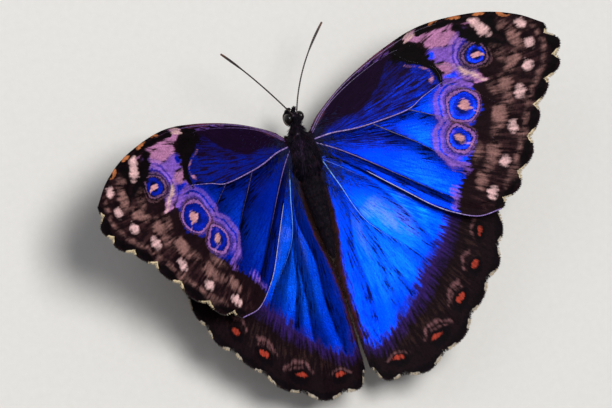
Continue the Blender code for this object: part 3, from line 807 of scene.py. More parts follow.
def build_wing(kind, side, wing, mats):
    """One closed wing: upper and lower films over the pleats, joined round the edge."""
    sign = SIDES[side]
    plan, s, t, middle, to_vein = wing["sheet"]
    edge = np.clip(np.minimum((1 - t) * 60, np.minimum(s, 1 - s) * 60 + 0.4), 0, 1)
    half = MEMBRANE / 2 * (0.35 + 0.65 * edge)
    ridge = 0.05 * np.exp(-(to_vein / 0.28) ** 2)
    top = np.column_stack([sign * plan[:, 0], plan[:, 1], middle + half + ridge])
    under = np.column_stack([sign * plan[:, 0], plan[:, 1], middle - half - ridge])
    across, rows = WING_STEPS[0] + 1, WING_STEPS[1] + 1
    corner = (np.arange(rows - 1)[:, None] * across + np.arange(across - 1)[None, :]).ravel()
    face = np.column_stack([corner, corner + 1, corner + across + 1, corner + across])
    count = len(plan)
    rim = np.concatenate([np.arange(across - 1), np.arange(rows - 1) * across + across - 1,
                          (rows - 1) * across + np.arange(across - 1, 0, -1),
                          np.arange(rows - 1, 0, -1) * across])
    ahead = np.roll(rim, -1)
    wall = np.column_stack([ahead, rim, rim + count, ahead + count])
    faces = np.vstack([face[:, ::-1], face + count, wall])
    if sign < 0:
        faces = faces[:, ::-1]
    points = np.vstack([top, under])
    obj = new_piece(kind + "_membrane_" + side, from_hinges(spread(wing, side, points)), faces,
                    [kind + "_" + side], mats)
    mesh = obj.data
    which = np.concatenate([np.zeros(len(face)), np.ones(len(face)), np.zeros(len(wall))])
    mesh.polygons.foreach_set("material_index", which.astype(np.int32))
    blank = np.zeros(count)
    for layer in sorted(set(wing["upper"]) | set(wing["lower"])):
        set_measure(obj, layer, np.concatenate([wing["upper"].get(layer, blank),
                                                wing["lower"].get(layer, blank)]))
    away = plan - np.array([0.0, -1.0])
    polar = np.column_stack([np.arctan2(away[:, 1], away[:, 0]) * ROW_RADIUS, np.hypot(*away.T)])
    owner = np.empty(len(mesh.loops), np.int32)
    mesh.loops.foreach_get("vertex_index", owner)
    for name, measures in (("scale_rows", polar), ("wing_plan", plan)):
        flat = measures[owner % count].astype(np.float32).ravel()
        mesh.uv_layers.new(name=name).uv.foreach_set("vector", flat)
    below = np.repeat(which, 4) > 0.5
    bake = np.where(below[:, None], bake_place(wing, plan, True)[owner % count],
                    bake_place(wing, plan, False)[owner % count])
    mesh.uv_layers.new(name="OFBake").uv.foreach_set("vector", bake.astype(np.float32).ravel())


def bake_place(wing, plan, lower):
    """Where spots of the flat wing are on its unwrap: the upper face, with the lower beside it."""
    low, size = wing["sheet"][0].min(0), np.ptp(wing["sheet"][0], axis=0)
    shift = np.array([0.0, 0.5] if size[0] > size[1] else [0.5, 0.0]) * lower
    return (plan - low) * min(0.48 / min(size), 0.98 / max(size)) + 0.01 + shift


def sheet_height(wing, spots):
    """The height of a wing's middle at spots on its flat plan."""
    plan, height = wing["sheet"][0], wing["sheet"][3]
    nearest = np.array([np.argmin(((plan - spot) ** 2).sum(1)) for spot in spots])
    return height[nearest]


def build_veins(kind, side, wing, mats):
    """The veins of one wing: tapering tubes half sunk in the membrane, proud of both its faces."""
    sign = SIDES[side]
    shapes, tones, lower = [], [], []
    for path, (wide, narrow), (near_tone, far_tone) in wing["veins"].values():
        length = sum(math.dist(a, b) for a, b in zip(path, path[1:]))
        rings = int(length / VEIN_STEP) + 2
        f = np.linspace(0, 1, rings)
        line = along(path, f)
        height = np.convolve(np.pad(sheet_height(wing, line), 2, mode="edge"), np.ones(5) / 5, "valid")
        ahead = np.gradient(line, axis=0)
        ahead /= np.linalg.norm(ahead, axis=1, keepdims=True)
        turn = np.linspace(0, math.tau, VEIN_SIDES, endpoint=False) * sign
        radius = (wide + (narrow - wide) * f) / 2
        out, lift = radius[:, None] * np.cos(turn), radius[:, None] * np.sin(turn)
        beside = np.stack([-ahead[:, 1], ahead[:, 0]], 1)
        spots = line[:, None] + beside[:, None] * out[..., None]
        ring = np.concatenate([spots * (sign, 1), (height[:, None] + lift)[..., None]], -1).reshape(-1, 3)
        faces = tube(np.column_stack([f, f, f * 2]), f + 0.1, VEIN_SIDES)[1]
        shapes.append((ring, [sheet[::-1] for sheet in faces]))
        tones.append(np.repeat(near_tone + (far_tone - near_tone) * f, VEIN_SIDES))
        lower += [np.mean([ring[k][2] for k in sheet]) < np.mean(height[[k // VEIN_SIDES for k in sheet]])
                  for sheet in faces]
    points, faces = joined(shapes)
    obj = new_piece(kind + "_veins_" + side, from_hinges(spread(wing, side, points)), faces, [],
                    mats)
    obj.data.polygons.foreach_set("material_index", np.array(lower, np.int32))
    set_measure(obj, "tone", np.concatenate(tones))


def vein_scales(name, dark, pale, bright):
    """Chitin tubes dusted with narrow scales: each vein's tone runs dark, pale, then painted highlight."""
    mat, tree, shader = new_material(name)
    tone = add(tree, "Attribute", attribute_name="tone").outputs["Fac"]
    dust = add(tree, "TexNoise", {"Vector": add(tree, "TexCoord").outputs["Object"],
                                  "Scale": 1 / (0.35 * MM), "Detail": 2.0}).outputs["Fac"]
    uneven = add(tree, "MapRange", {"Value": dust, "From Min": 0.3, "From Max": 0.7, "To Min": -0.22,
                                    "To Max": 0.22}).outputs[0]
    tone = add(tree, "Math", {0: tone, 1: uneven}, operation="ADD", use_clamp=True).outputs[0]
    lower, upper = (add(tree, "MapRange", {"Value": tone, "From Min": low, "From Max": high}).outputs[0]
                    for low, high in ((0.0, 0.6), (0.6, 1.0)))
    colour = add(tree, "Mix", {0: lower, 6: linear(dark), 7: linear(pale)}, data_type="RGBA").outputs[2]
    colour = add(tree, "Mix", {0: upper, 6: colour, 7: linear(bright)}, data_type="RGBA").outputs[2]
    bump = add(tree, "Bump", {"Height": dust, "Strength": 0.4, "Distance": 0.03 * MM}).outputs[0]
    tree.links.new(colour, shader.inputs["Base Color"])
    tree.links.new(bump, shader.inputs["Normal"])
    shader.inputs["Roughness"].default_value = 0.42
    return mat


def lower_eyespots(places):
    """Ringed eyespots of the underside, each given by its centre and its outer radius."""
    rings = ((0.16, "#f2ece0", 1.0), (0.3, "#5a2418", 1.0), (0.36, "#d8dccf", 0.85), (0.62, "#0d0808", 1.0),
             (0.74, "#caa257", 1.0), (0.86, "#2f1d14", 1.0), (0.97, "#8b7355", 0.8))
    return [(centre, outer, [(outer * part, tint, full) for part, tint, full in rings])
            for centre, outer in places]


def underside_scales(name, eyespots):
    """The brown scales of a wing's lower face, the same on both pairs but for their eyespots."""
    return layered_scales(name, "#5c452f",
                          [("umber", "#33231a", 0.9), ("buff", "#b09c74", 0.9), ("silver", "#9a948c", 0.8),
                           ("ochre", "#a8702f"), ("eyespots", eyespots)], ())


def lay_out(wing, upper, lower, fold, notch):
    """Lay a wing out flat and work out how fully each layer covers every spot of its two faces."""
    wing["sheet"] = wing_sheet(wing)
    plan = wing["sheet"][0]
    wing["upper"] = {layer: cover(plan, marks) for layer, marks in upper.items()}
    # the fold layer: painted shade behind the veins, laid over the blue only
    wing["upper"]["fold"] = fold_shade(wing) * fold
    wing["upper"]["edging"] = notch_edge(wing, *notch)
    wing["lower"] = {layer: cover(plan, marks) for layer, marks in lower.items()}


# ---- forewings -------------------------------------------------------------------------------
# The long front pair: a dusky cell, plum above and deep blue below, with a black bar across its end,
# bright blue behind it, rose and lilac patches and three ringed eyespots beyond it, then a brown-black
# outer third with two rows of spots. Their lower face is brown with pale bands and ringed eyespots.
FOREWING = {
    "hinge": (2.6, 0.0, -1.2), "rise": 17.1, "sweep": {"left": -7.0, "right": 7.0},
    "costa": [(0.3, 1.8), (4.2, 5.0), (13.0, 9.3), (24.0, 12.6), (34.0, 13.8), (46.0, 11.6),
              (54.0, 7.9), (59.2, 3.6)],
    "tips": [(59.2, 3.6), (61.0, -1.6), (58.8, -6.6), (53.9, -10.6), (49.7, -15.9), (45.0, -22.6),
             (39.1, -28.4), (33.8, -31.1)],
    "inner": [(1.05, -2.7), (8.5, -11.0), (15.0, -18.9), (19.4, -24.2), (23.3, -27.7),
              (28.0, -30.6), (33.8, -31.1)],
    "scallop": 1.6, "sharp": 0.7, "camber": 0.7, "fringe": (0.25, 0.35),
    "pleat": 0.34, "pleat_wide": 1.7,
    # each vein: its line, its width at the two ends, and how pale it is there
    "veins": {
        "subcosta": ([(1.0, 1.9), (5.0, 5.1), (13.0, 9.0), (24.0, 12.0), (34.0, 13.0), (46.0, 10.8),
                      (53.0, 7.4), (58.4, 3.8)], (0.42, 0.16), (0.3, 0.1)),
        "radius": ([(1.0, 1.4), (6.0, 5.3), (14.0, 8.6), (24.0, 10.8), (33.0, 10.3), (45.0, 9.0),
                    (52.0, 4.8), (60.0, -1.8)], (0.34, 0.14), (0.3, 0.1)),
        "media_1": ([(32.5, 8.2), (40.0, 5.8), (46.0, 3.0), (52.0, -0.5), (58.0, -6.4)],
                    (0.28, 0.14), (0.1, 0.1)),
        "media_2": ([(32.3, 4.8), (36.0, 2.7), (40.0, 0.5), (45.0, -2.7), (53.4, -10.1)],
                    (0.3, 0.14), (0.1, 0.1)),
        "media_3": ([(32.2, 0.2), (35.0, -2.0), (39.0, -5.5), (45.0, -12.5), (49.2, -15.4)],
                    (0.3, 0.14), (0.15, 0.05)),
        "cubitus": ([(0.9, 0.0), (5.0, -0.3), (10.0, -1.4), (15.0, -2.0), (22.8, -2.3), (27.0, -1.0),
                     (32.2, 0.2)], (0.42, 0.28), (0.62, 0.58)),
        "cubitus_1": ([(22.8, -2.3), (27.0, -5.3), (31.0, -8.5), (35.0, -12.3), (40.0, -18.0),
                       (44.5, -22.0)], (0.32, 0.14), (0.1, 0.0)),
        "cubitus_2": ([(14.2, -2.1), (18.0, -6.0), (22.0, -10.0), (25.0, -13.7), (28.0, -17.0),
                       (31.0, -20.0), (35.0, -24.5), (38.8, -27.8)], (0.34, 0.14), (0.1, 0.0)),
        "anal": ([(0.9, -0.9), (5.0, -4.3), (10.0, -9.3), (15.0, -14.7), (20.0, -20.0), (25.0, -25.0),
                  (33.2, -30.5)], (0.36, 0.2), (0.66, -0.7)),
        # the rolled inner edge: its pale-to-bright tone is a painted highlight along the edge
        "rolled_edge": ([(8.6, -10.9), (15.0, -18.75), (19.4, -24.05), (23.3, -27.55), (28.0, -30.45),
                         (33.4, -30.95)], (0.26, 0.3), (1.1, 0.5)),
        "cell_end": ([(25.0, 10.4), (27.0, 7.9), (30.0, 5.8), (32.0, 4.0), (32.5, 2.0), (32.2, 0.2)],
                     (0.24, 0.24), (0.0, 0.0))},
    "flat_veins": ["subcosta", "radius", "cell_end", "media_1", "rolled_edge"],
}
EYE_1, EYE_2, EYE_3 = (41.9, 3.0), (34.6, -6.4), (30.9, -13.0)
FOREWING_UPPER = {
    "loam": [("line", [(53.5, 6.5), (52.0, 0.0), (47.5, -6.5), (43.0, -13.0), (37.5, -20.5),
                       (32.0, -26.5)], (8.0, 6.5), 5.0, 0.5)],
    "blue": [("patch", [(0.5, -1.0), (8.0, 2.5), (16.0, 5.5), (22.0, 9.0), (25.2, 8.6), (28.0, 7.2),
                        (31.5, 4.6), (32.2, 0.8), (35.0, -1.4), (37.6, -3.6), (38.6, -6.4),
                        (37.4, -9.8), (34.6, -10.8), (34.2, -14.0), (32.0, -17.0), (30.0, -19.0),
                        (28.0, -21.4), (26.2, -23.4), (24.4, -26.0), (22.0, -29.6), (10.0, -17.0),
                        (0.0, -5.0)], 1.8)],
    # azure: painted highlight, a lighter blue where the blue catches the light
    "azure": [("patch", [(24.0, -3.5), (30.0, -1.6), (31.0, -7.0), (27.0, -12.0), (24.0, -20.0),
                         (20.0, -22.0), (17.0, -15.0), (19.0, -8.0)], 7.0, 0.7),
              ("patch", [(24.0, 5.0), (27.0, 5.0), (30.4, 3.0), (30.2, 1.0), (25.0, 0.6)], 4.0, 0.25)],
    # dusk: dark base and cell, partly own dark scales, partly painted shade over the cell and behind the
    # cubitus
    "dusk": [("patch", [(0.0, 1.4), (6.0, 0.4), (12.0, -0.2), (17.0, 1.6), (21.0, 4.4), (23.6, 7.6),
                        (26.0, 10.6), (20.0, 12.4), (10.0, 9.4), (2.0, 4.4)], 4.4),
             ("patch", [(3.0, 0.2), (5.0, -0.3), (10.0, -1.4), (15.0, -2.0), (22.8, -2.3), (27.0, -1.0),
                        (32.2, 0.2), (32.5, 2.0), (32.0, 4.0), (30.0, 5.8), (27.0, 7.9), (20.0, 10.0),
                        (10.0, 7.0)], 1.3, 0.72),
             ("patch", [(12.0, 0.6), (19.0, 1.2), (24.0, 2.6), (28.4, 4.8), (29.4, 7.2), (26.0, 9.6),
                        (20.0, 11.6), (12.0, 6.0)], 4.0, 0.92),
             ("patch", [(2.0, -0.6), (10.0, -2.0), (14.5, -2.6), (18.5, -6.2), (20.0, -9.0),
                        (13.0, -6.5), (6.0, -3.4)], 4.0, 0.72)],
    "lilac": [("patch", [(31.4, 7.6), (34.0, 8.1), (37.0, 7.3), (39.6, 6.3), (39.6, 4.0), (38.4, 2.2),
                         (36.0, 3.2), (33.4, 4.6), (32.3, 5.6)], 1.1),
              ("patch", [(32.8, 1.6), (34.6, 2.0), (36.8, -1.0), (38.4, -2.6), (38.0, -3.4),
                         (35.4, -1.9), (33.2, 0.2)], 0.9, 0.8),
              ("patch", [(26.4, -15.6), (28.2, -16.4), (30.8, -19.4), (29.8, -20.8), (27.6, -18.9),
                         (26.1, -17.2)], 1.3, 0.75),
              ("patch", [(24.8, -22.0), (26.0, -22.4), (26.0, -24.2), (24.4, -27.0), (23.2, -26.2),
                         (24.2, -24.4)], 1.4, 0.6),
              ("line", [(8.0, 8.2), (14.0, 9.6), (24.0, 11.2)], (0.5, 0.4), 0.6, 0.5)],
    "plum": [("line", [(1.2, 2.3), (4.4, 4.7), (8.4, 7.4), (14.0, 9.9), (20.0, 11.5), (26.0, 12.6)],
              (1.1, 0.7), 0.8, 0.9)],
    "rose": [("patch", [(31.8, 10.3), (35.0, 10.8), (38.6, 10.5), (40.4, 8.6), (40.0, 6.7), (37.0, 7.2),
                        (34.2, 8.1), (32.2, 8.8)], 1.1),
             ("patch", [(28.4, 12.5), (29.6, 13.5), (31.5, 13.1), (32.2, 12.0), (35.0, 11.5),
                        (39.5, 11.3), (39.5, 10.8), (33.0, 10.8), (30.2, 10.9), (28.8, 11.6)], 0.8),
             ("patch", [(32.4, 4.2), (34.4, 4.1), (36.8, 2.9), (39.0, 1.2), (40.6, -0.8),
                        (42.2, -3.3), (39.2, -2.4), (37.6, -0.6), (36.0, 1.2), (33.6, 2.0)], 0.9),
             ("line", [(26.0, 7.0), (28.5, 5.9), (30.4, 4.3), (30.9, 2.8), (30.3, 1.5)],
              (0.2, 0.5), 0.9, 0.7),
             ("line", [(39.0, 11.0), (45.0, 9.9)], (0.4, 0.25), 0.5, 0.7)],
    "iris": [("spot", EYE_2, (3.1, 3.1, 0), 0.6), ("spot", EYE_3, (2.8, 2.8, 0), 0.6),
             ("spot", EYE_1, (2.1, 2.2, 0), 0.9), ("spot", (35.7, 0.5), (1.7, 1.1, -10), 1.4),
             ("spot", (32.4, 6.7), (0.7, 1.1, 10), 0.9)],
    "soot": [("line", [(26.2, 8.9), (28.2, 7.4), (30.4, 5.9), (31.9, 4.1), (32.3, 2.2), (32.0, 0.4)],
              (1.9, 1.3), 0.7),
             ("patch", [(23.5, 9.4), (26.5, 7.9), (29.5, 6.8), (31.4, 6.4), (31.6, 8.4), (30.8, 10.2),
                        (29.2, 11.0), (28.2, 12.6), (25.0, 12.4)], 1.8),
             ("line", [(0.3, 1.9), (4.2, 5.1), (13.0, 9.4), (24.0, 12.7), (34.0, 13.9), (46.0, 11.7),
                       (54.0, 8.0)], (0.6, 1.2), 0.5),
             ("line", [(31.0, 12.6), (38.0, 12.2), (44.0, 11.0)], (1.0, 0.8), 0.6),
             ("line", [(40.5, 10.2), (43.0, 6.8), (47.2, 3.6)], (2.4, 3.0), 1.6, 0.9),
             ("line", [(47.5, 11.0), (49.0, 5.0), (52.0, 1.6)], (3.0, 2.0), 1.6, 0.8),
             ("line", [(59.2, 2.8), (59.4, -2.0), (57.2, -6.2), (52.4, -10.0), (48.2, -15.2), (43.6, -21.6),
                       (37.8, -27.2), (33.2, -29.8)], (2.4, 1.8), 1.4, 0.9)],
    "clay": [("spot", (51.8, 3.1), (2.0, 1.1, 110), 1.4), ("spot", (49.1, -1.5), (2.1, 1.2, 35), 1.4),
             ("spot", (45.4, -5.8), (1.9, 1.5, 80), 1.4), ("spot", (41.6, -11.6), (2.2, 1.5, 60), 1.4),
             ("spot", (36.7, -18.9), (2.1, 1.4, 50), 1.4), ("spot", (31.6, -23.6), (1.6, 1.1, 60), 1.4),
             ("spot", (44.4, -9.4), (1.6, 0.9, 60), 1.6, 0.42),
             ("spot", (39.2, -14.6), (1.7, 0.9, 60), 1.6, 0.42),
             ("spot", (46.9, 1.2), (1.6, 0.9, 110), 1.6, 0.4),
             ("spot", (48.9, -11.2), (1.4, 0.8, 80), 1.6, 0.4),
             ("spot", (42.6, -5.2), (1.4, 0.8, 100), 1.6, 0.4),
             ("spot", (34.2, -21.4), (1.4, 0.8, 60), 1.6, 0.42),
             ("spot", (44.6, -17.4), (1.5, 0.9, 60), 1.6, 0.4),
             ("spot", (39.6, -24.2), (1.4, 0.8, 60), 1.6, 0.4),
             ("spot", (50.4, 6.4), (1.4, 0.9, 110), 1.6, 0.4),
             ("spot", (33.6, -17.2), (1.5, 0.8, 60), 1.6, 0.4),
             ("line", [(56.6, 4.4), (57.0, -0.8), (55.0, -5.0), (50.8, -8.8), (47.0, -13.8), (42.0, -20.8),
                       (36.4, -26.6)], (0.5, 0.5), 1.4, 0.55)],
    "rust": [("spot", (35.6, 13.3), (1.2, 0.35, 2), 0.4), ("spot", (40.6, 12.6), (1.4, 0.45, -10), 0.4),
             ("spot", (46.2, 11.1), (1.4, 0.5, -20), 0.4), ("spot", (51.2, 8.9), (1.4, 0.5, -30), 0.4)],
    "pupil": [("spot", (35.0, -6.4), (1.5, 1.05, -40), 0.7), ("spot", (31.1, -12.9), (1.35, 0.85, -55), 0.7),
              ("line", [(35.6, -7.0), (37.4, -8.9)], (0.9, 0.1), 0.5, 0.8),
              ("line", [(31.6, -13.6), (33.3, -15.8)], (0.8, 0.1), 0.5, 0.8),
              ("spot", (42.1, 2.9), (1.1, 0.6, -25), 0.6),
              ("line", [(42.6, 2.6), (44.3, 1.6)], (0.8, 0.1), 0.5)],
    "cream": [("spot", (45.4, 7.9), (2.3, 1.15, -62), 0.9),
              ("spot", (44.6, 10.1), (1.0, 0.5, -30), 0.8, 0.7),
              ("line", [(37.4, 1.2), (39.2, -0.6), (41.9, -3.3)], (1.4, 0.1), 0.8),
              ("spot", (54.2, 5.8), (1.2, 0.95, 100), 1.0), ("spot", (54.3, 0.7), (1.25, 1.0, 100), 1.0),
              ("spot", (51.9, -3.8), (1.3, 1.05, 100), 1.0), ("spot", (47.9, -8.6), (1.5, 1.1, 80), 1.0),
              ("spot", (43.4, -14.9), (1.5, 1.0, 60), 1.0), ("spot", (38.4, -21.6), (1.3, 1.05, 60), 1.0),
              ("spot", (33.0, -26.9), (1.3, 1.0, 60), 1.0),
              ("spot", (29.6, 12.6), (1.2, 0.7, 30), 0.8, 0.9)],
}
EYESPOTS_UPPER = [
    (EYE_1, 7.2, [(2.8, "#2a1c90", 0.0), (3.5, "#7c56b8", 0.8), (4.1, "#1c1c98", 0.85),
                  (4.8, "#7e58b8", 0.8), (5.4, "#261e90", 0.75), (6.4, "#8058b0", 0.5),
                  (7.0, "#4a3090", 0.1)], 172),
    (EYE_2, 7.8, [(4.3, "#2a20a0", 0.0), (5.2, "#8058b8", 0.78), (5.75, "#1420a0", 0.3),
                  (6.9, "#7650b4", 0.66), (7.5, "#2a24a0", 0.3)], 152),
    (EYE_3, 6.9, [(3.9, "#2a20a0", 0.0), (4.6, "#7c54b6", 0.78), (5.0, "#1420a0", 0.3),
                  (6.2, "#8058b0", 0.66), (6.7, "#2a24a0", 0.3)], 168),
    (EYE_2, 4.6, [(1.6, "#050a3c", 0.9), (2.3, "#06167c", 0.55), (2.95, "#0c2cd0", 0.0),
                  (3.1, "#080624", 0.9), (3.75, "#8c5c9e", 1.0), (3.95, "#140a18", 0.8),
                  (4.25, "#6e4256", 0.6), (4.45, "#1e0d10", 0.25)]),
    (EYE_3, 4.2, [(1.4, "#050a3c", 0.9), (2.0, "#06167c", 0.55), (2.6, "#0c2cd0", 0.0),
                  (2.75, "#080624", 0.9), (3.35, "#8c5c9e", 1.0), (3.55, "#140a18", 0.8),
                  (3.85, "#6e4256", 0.6), (4.05, "#1e0d10", 0.25)]),
    (EYE_1, 4.2, [(1.2, "#04030c", 0.95), (1.7, "#0a1678", 0.7), (2.15, "#0c2cd0", 0.0),
                  (2.5, "#0a0614", 0.95), (2.85, "#76506e", 0.85), (3.3, "#0c060c", 0.9),
                  (3.6, "#5c3e44", 0.7), (4.0, "#120a0c", 0.4)]),
]
FOREWING_LOWER = {
    "umber": [("line", [(2.0, 0.0), (14.0, 4.0), (26.0, 4.0), (31.0, 3.0)], (3.0, 6.0), 4.0, 0.8),
              ("line", [(30.0, 12.0), (33.5, 4.0), (31.0, -3.0), (26.0, -10.0), (21.0, -17.0)],
               (4.0, 3.0), 2.0, 0.9),
              ("line", [(53.0, 6.0), (50.0, -1.0), (45.5, -8.0), (40.0, -15.5), (33.5, -23.0)],
               (4.0, 3.4), 2.0, 0.9)],
    "buff": [("line", [(21.0, 11.0), (22.4, 6.0), (22.0, 0.0)], (1.5, 1.1), 0.5, 0.9),
             ("line", [(28.5, 11.6), (29.6, 6.6), (29.4, 2.0)], (1.2, 0.9), 0.5, 0.85),
             ("line", [(43.6, 11.2), (46.2, 5.0), (43.6, -1.6), (40.2, -8.6), (35.6, -15.6), (29.0, -23.0)],
              (2.2, 1.6), 0.5, 0.95),
             ("line", [(36.0, 12.0), (37.6, 6.0), (35.0, 0.6)], (1.5, 1.0), 0.5, 0.8)],
    "silver": [("line", [(57.6, 3.6), (58.0, -1.4), (55.6, -5.8), (51.4, -9.4), (47.4, -14.4),
                         (42.6, -20.8), (37.2, -26.4), (32.6, -29.2)], (0.9, 0.9), 0.7, 0.9)],
    "ochre": [("line", [(56.0, 3.4), (56.2, -1.2), (53.8, -5.0), (49.6, -8.6), (45.6, -13.4),
                        (40.8, -19.6), (35.6, -25.0), (31.4, -27.8)], (0.5, 0.5), 0.5, 0.9)],
}
EYESPOTS_LOWER = lower_eyespots(((EYE_1, 3.6), (EYE_2, 5.0), (EYE_3, 4.6)))
lay_out(FOREWING, FOREWING_UPPER, FOREWING_LOWER, 1.0, (0.2, 0.0))

# Blue scales have no blue pigment: ridges on them throw back blue light as a metal mirror would.
# The dark ones are matt with melanin, and the pale ones are plain clear scales. The lighter azure
# layer is a painted highlight where the blue catches the light.
forewing_blue = layered_scales(
    "morpho_blue_scales", "#180a0e",
    # dusk: the dark cell, with painted shade over it and behind the cubitus stem
    [("loam", "#2e1a1c"), ("blue", "#002ecc", 0.7), ("azure", "#0444ea", 0.8), ("dusk", "#14051c", 1.0),
     # fold: painted shade of the folds behind the veins, dark glossy navy
     ("fold", "#020420", 1.0), ("lilac", "#7850ac", 0.8), ("rose", "#a46c92", 0.7), ("iris", "#0a28c4", 0.7),
     ("eyespots", EYESPOTS_UPPER), ("soot", "#080406"), ("plum", "#54283e", 0.8), ("clay", "#7e5a55", 1.0),
     ("rust", "#a8643c"), ("pupil", "#bf868a", 0.6), ("cream", "#cba2a0", 0.9), ("edging", "#c9b491")],
    ("blue", "azure", "fold", "iris"))
forewing_brown = underside_scales("forewing_underside_scales", EYESPOTS_LOWER)
# the bright end of the forewing veins' tone is a painted highlight, used along the rolled inner edge
forewing_vein = vein_scales("forewing_vein_scales", "#0b0409", "#7e5ea4", "#c3bfe6")
underside_vein = vein_scales("underside_vein_scales", "#2c1d13", "#8a7048", "#a08a62")
for side in SIDES:
    build_wing("forewing", side, FOREWING, [forewing_blue, forewing_brown])
    build_veins("forewing", side, FOREWING, [forewing_vein, underside_vein])


# ---- hindwings -------------------------------------------------------------------------------
# The broad rear pair, blue almost to the edge, with a brown-black border of lobes that holds a row
# of small red marks, each under a dull pink brow. Their lower face has a row of four eyespots.
HINDWING = {
    "hinge": (2.6, -5.5, -2.3), "rise": 9.6, "sweep": {"left": 0.0, "right": 0.0},
    "costa": [(0.8, 2.8), (8.0, 4.4), (18.0, 3.6), (27.0, -1.6), (34.0, -9.6)],
    "tips": [(34.0, -9.6), (38.6, -17.4), (37.2, -25.7), (33.9, -33.0), (27.8, -39.4), (20.9, -46.4),
             (10.7, -51.4), (0.9, -50.8), (-2.1, -46.8)],
    "inner": [(0.3, -1.4), (0.45, -5.0), (0.3, -9.5), (-0.2, -14.0), (-0.9, -18.5), (-1.9, -22.0),
              (-2.3, -26.0), (-2.35, -37.0), (-2.1, -46.8)],
    "scallop": 1.3, "sharp": 0.7, "camber": 0.6, "fringe": (0.25, 0.4),
    "pleat": 0.26, "pleat_wide": 1.9,
    "veins": {
        "radius": ([(1.6, 1.2), (8.0, 2.6), (18.0, 1.2), (27.0, -5.0), (34.0, -12.0), (38.0, -17.2)],
                   (0.34, 0.14), (0.4, 0.1)),
        "media_1": ([(13.0, -0.6), (22.0, -8.0), (30.0, -17.0), (36.6, -25.2)], (0.24, 0.14), (0.3, 0.0)),
        "media_2": ([(1.6, 1.0), (6.0, -2.6), (12.0, -8.5), (18.9, -20.5), (22.1, -27.5), (33.2, -32.4)],
                    (0.3, 0.14), (0.5, 0.0)),
        # media_3: its pale tone near the root is a painted highlight along the lit ridge
        "media_3": ([(1.6, 0.8), (3.7, -5.5), (7.1, -15.1), (14.7, -23.9), (21.0, -31.6), (27.3, -38.8)],
                    (0.36, 0.16), (1.0, 0.1)),
        "cubitus_1": ([(7.1, -15.1), (9.0, -24.0), (13.6, -34.6), (20.4, -45.6)], (0.24, 0.14), (0.6, 0.0)),
        "cubitus_2": ([(5.8, -11.6), (7.3, -19.6), (7.8, -27.3), (8.8, -34.9), (10.4, -50.6)],
                      (0.24, 0.14), (0.6, 0.0)),
        "anal": ([(1.4, -1.0), (4.0, -10.0), (3.4, -15.0), (2.5, -20.6), (3.0, -32.0), (1.2, -50.0)],
                 (0.24, 0.14), (0.4, 0.0))},
    "flat_veins": ["radius", "media_1"],
}
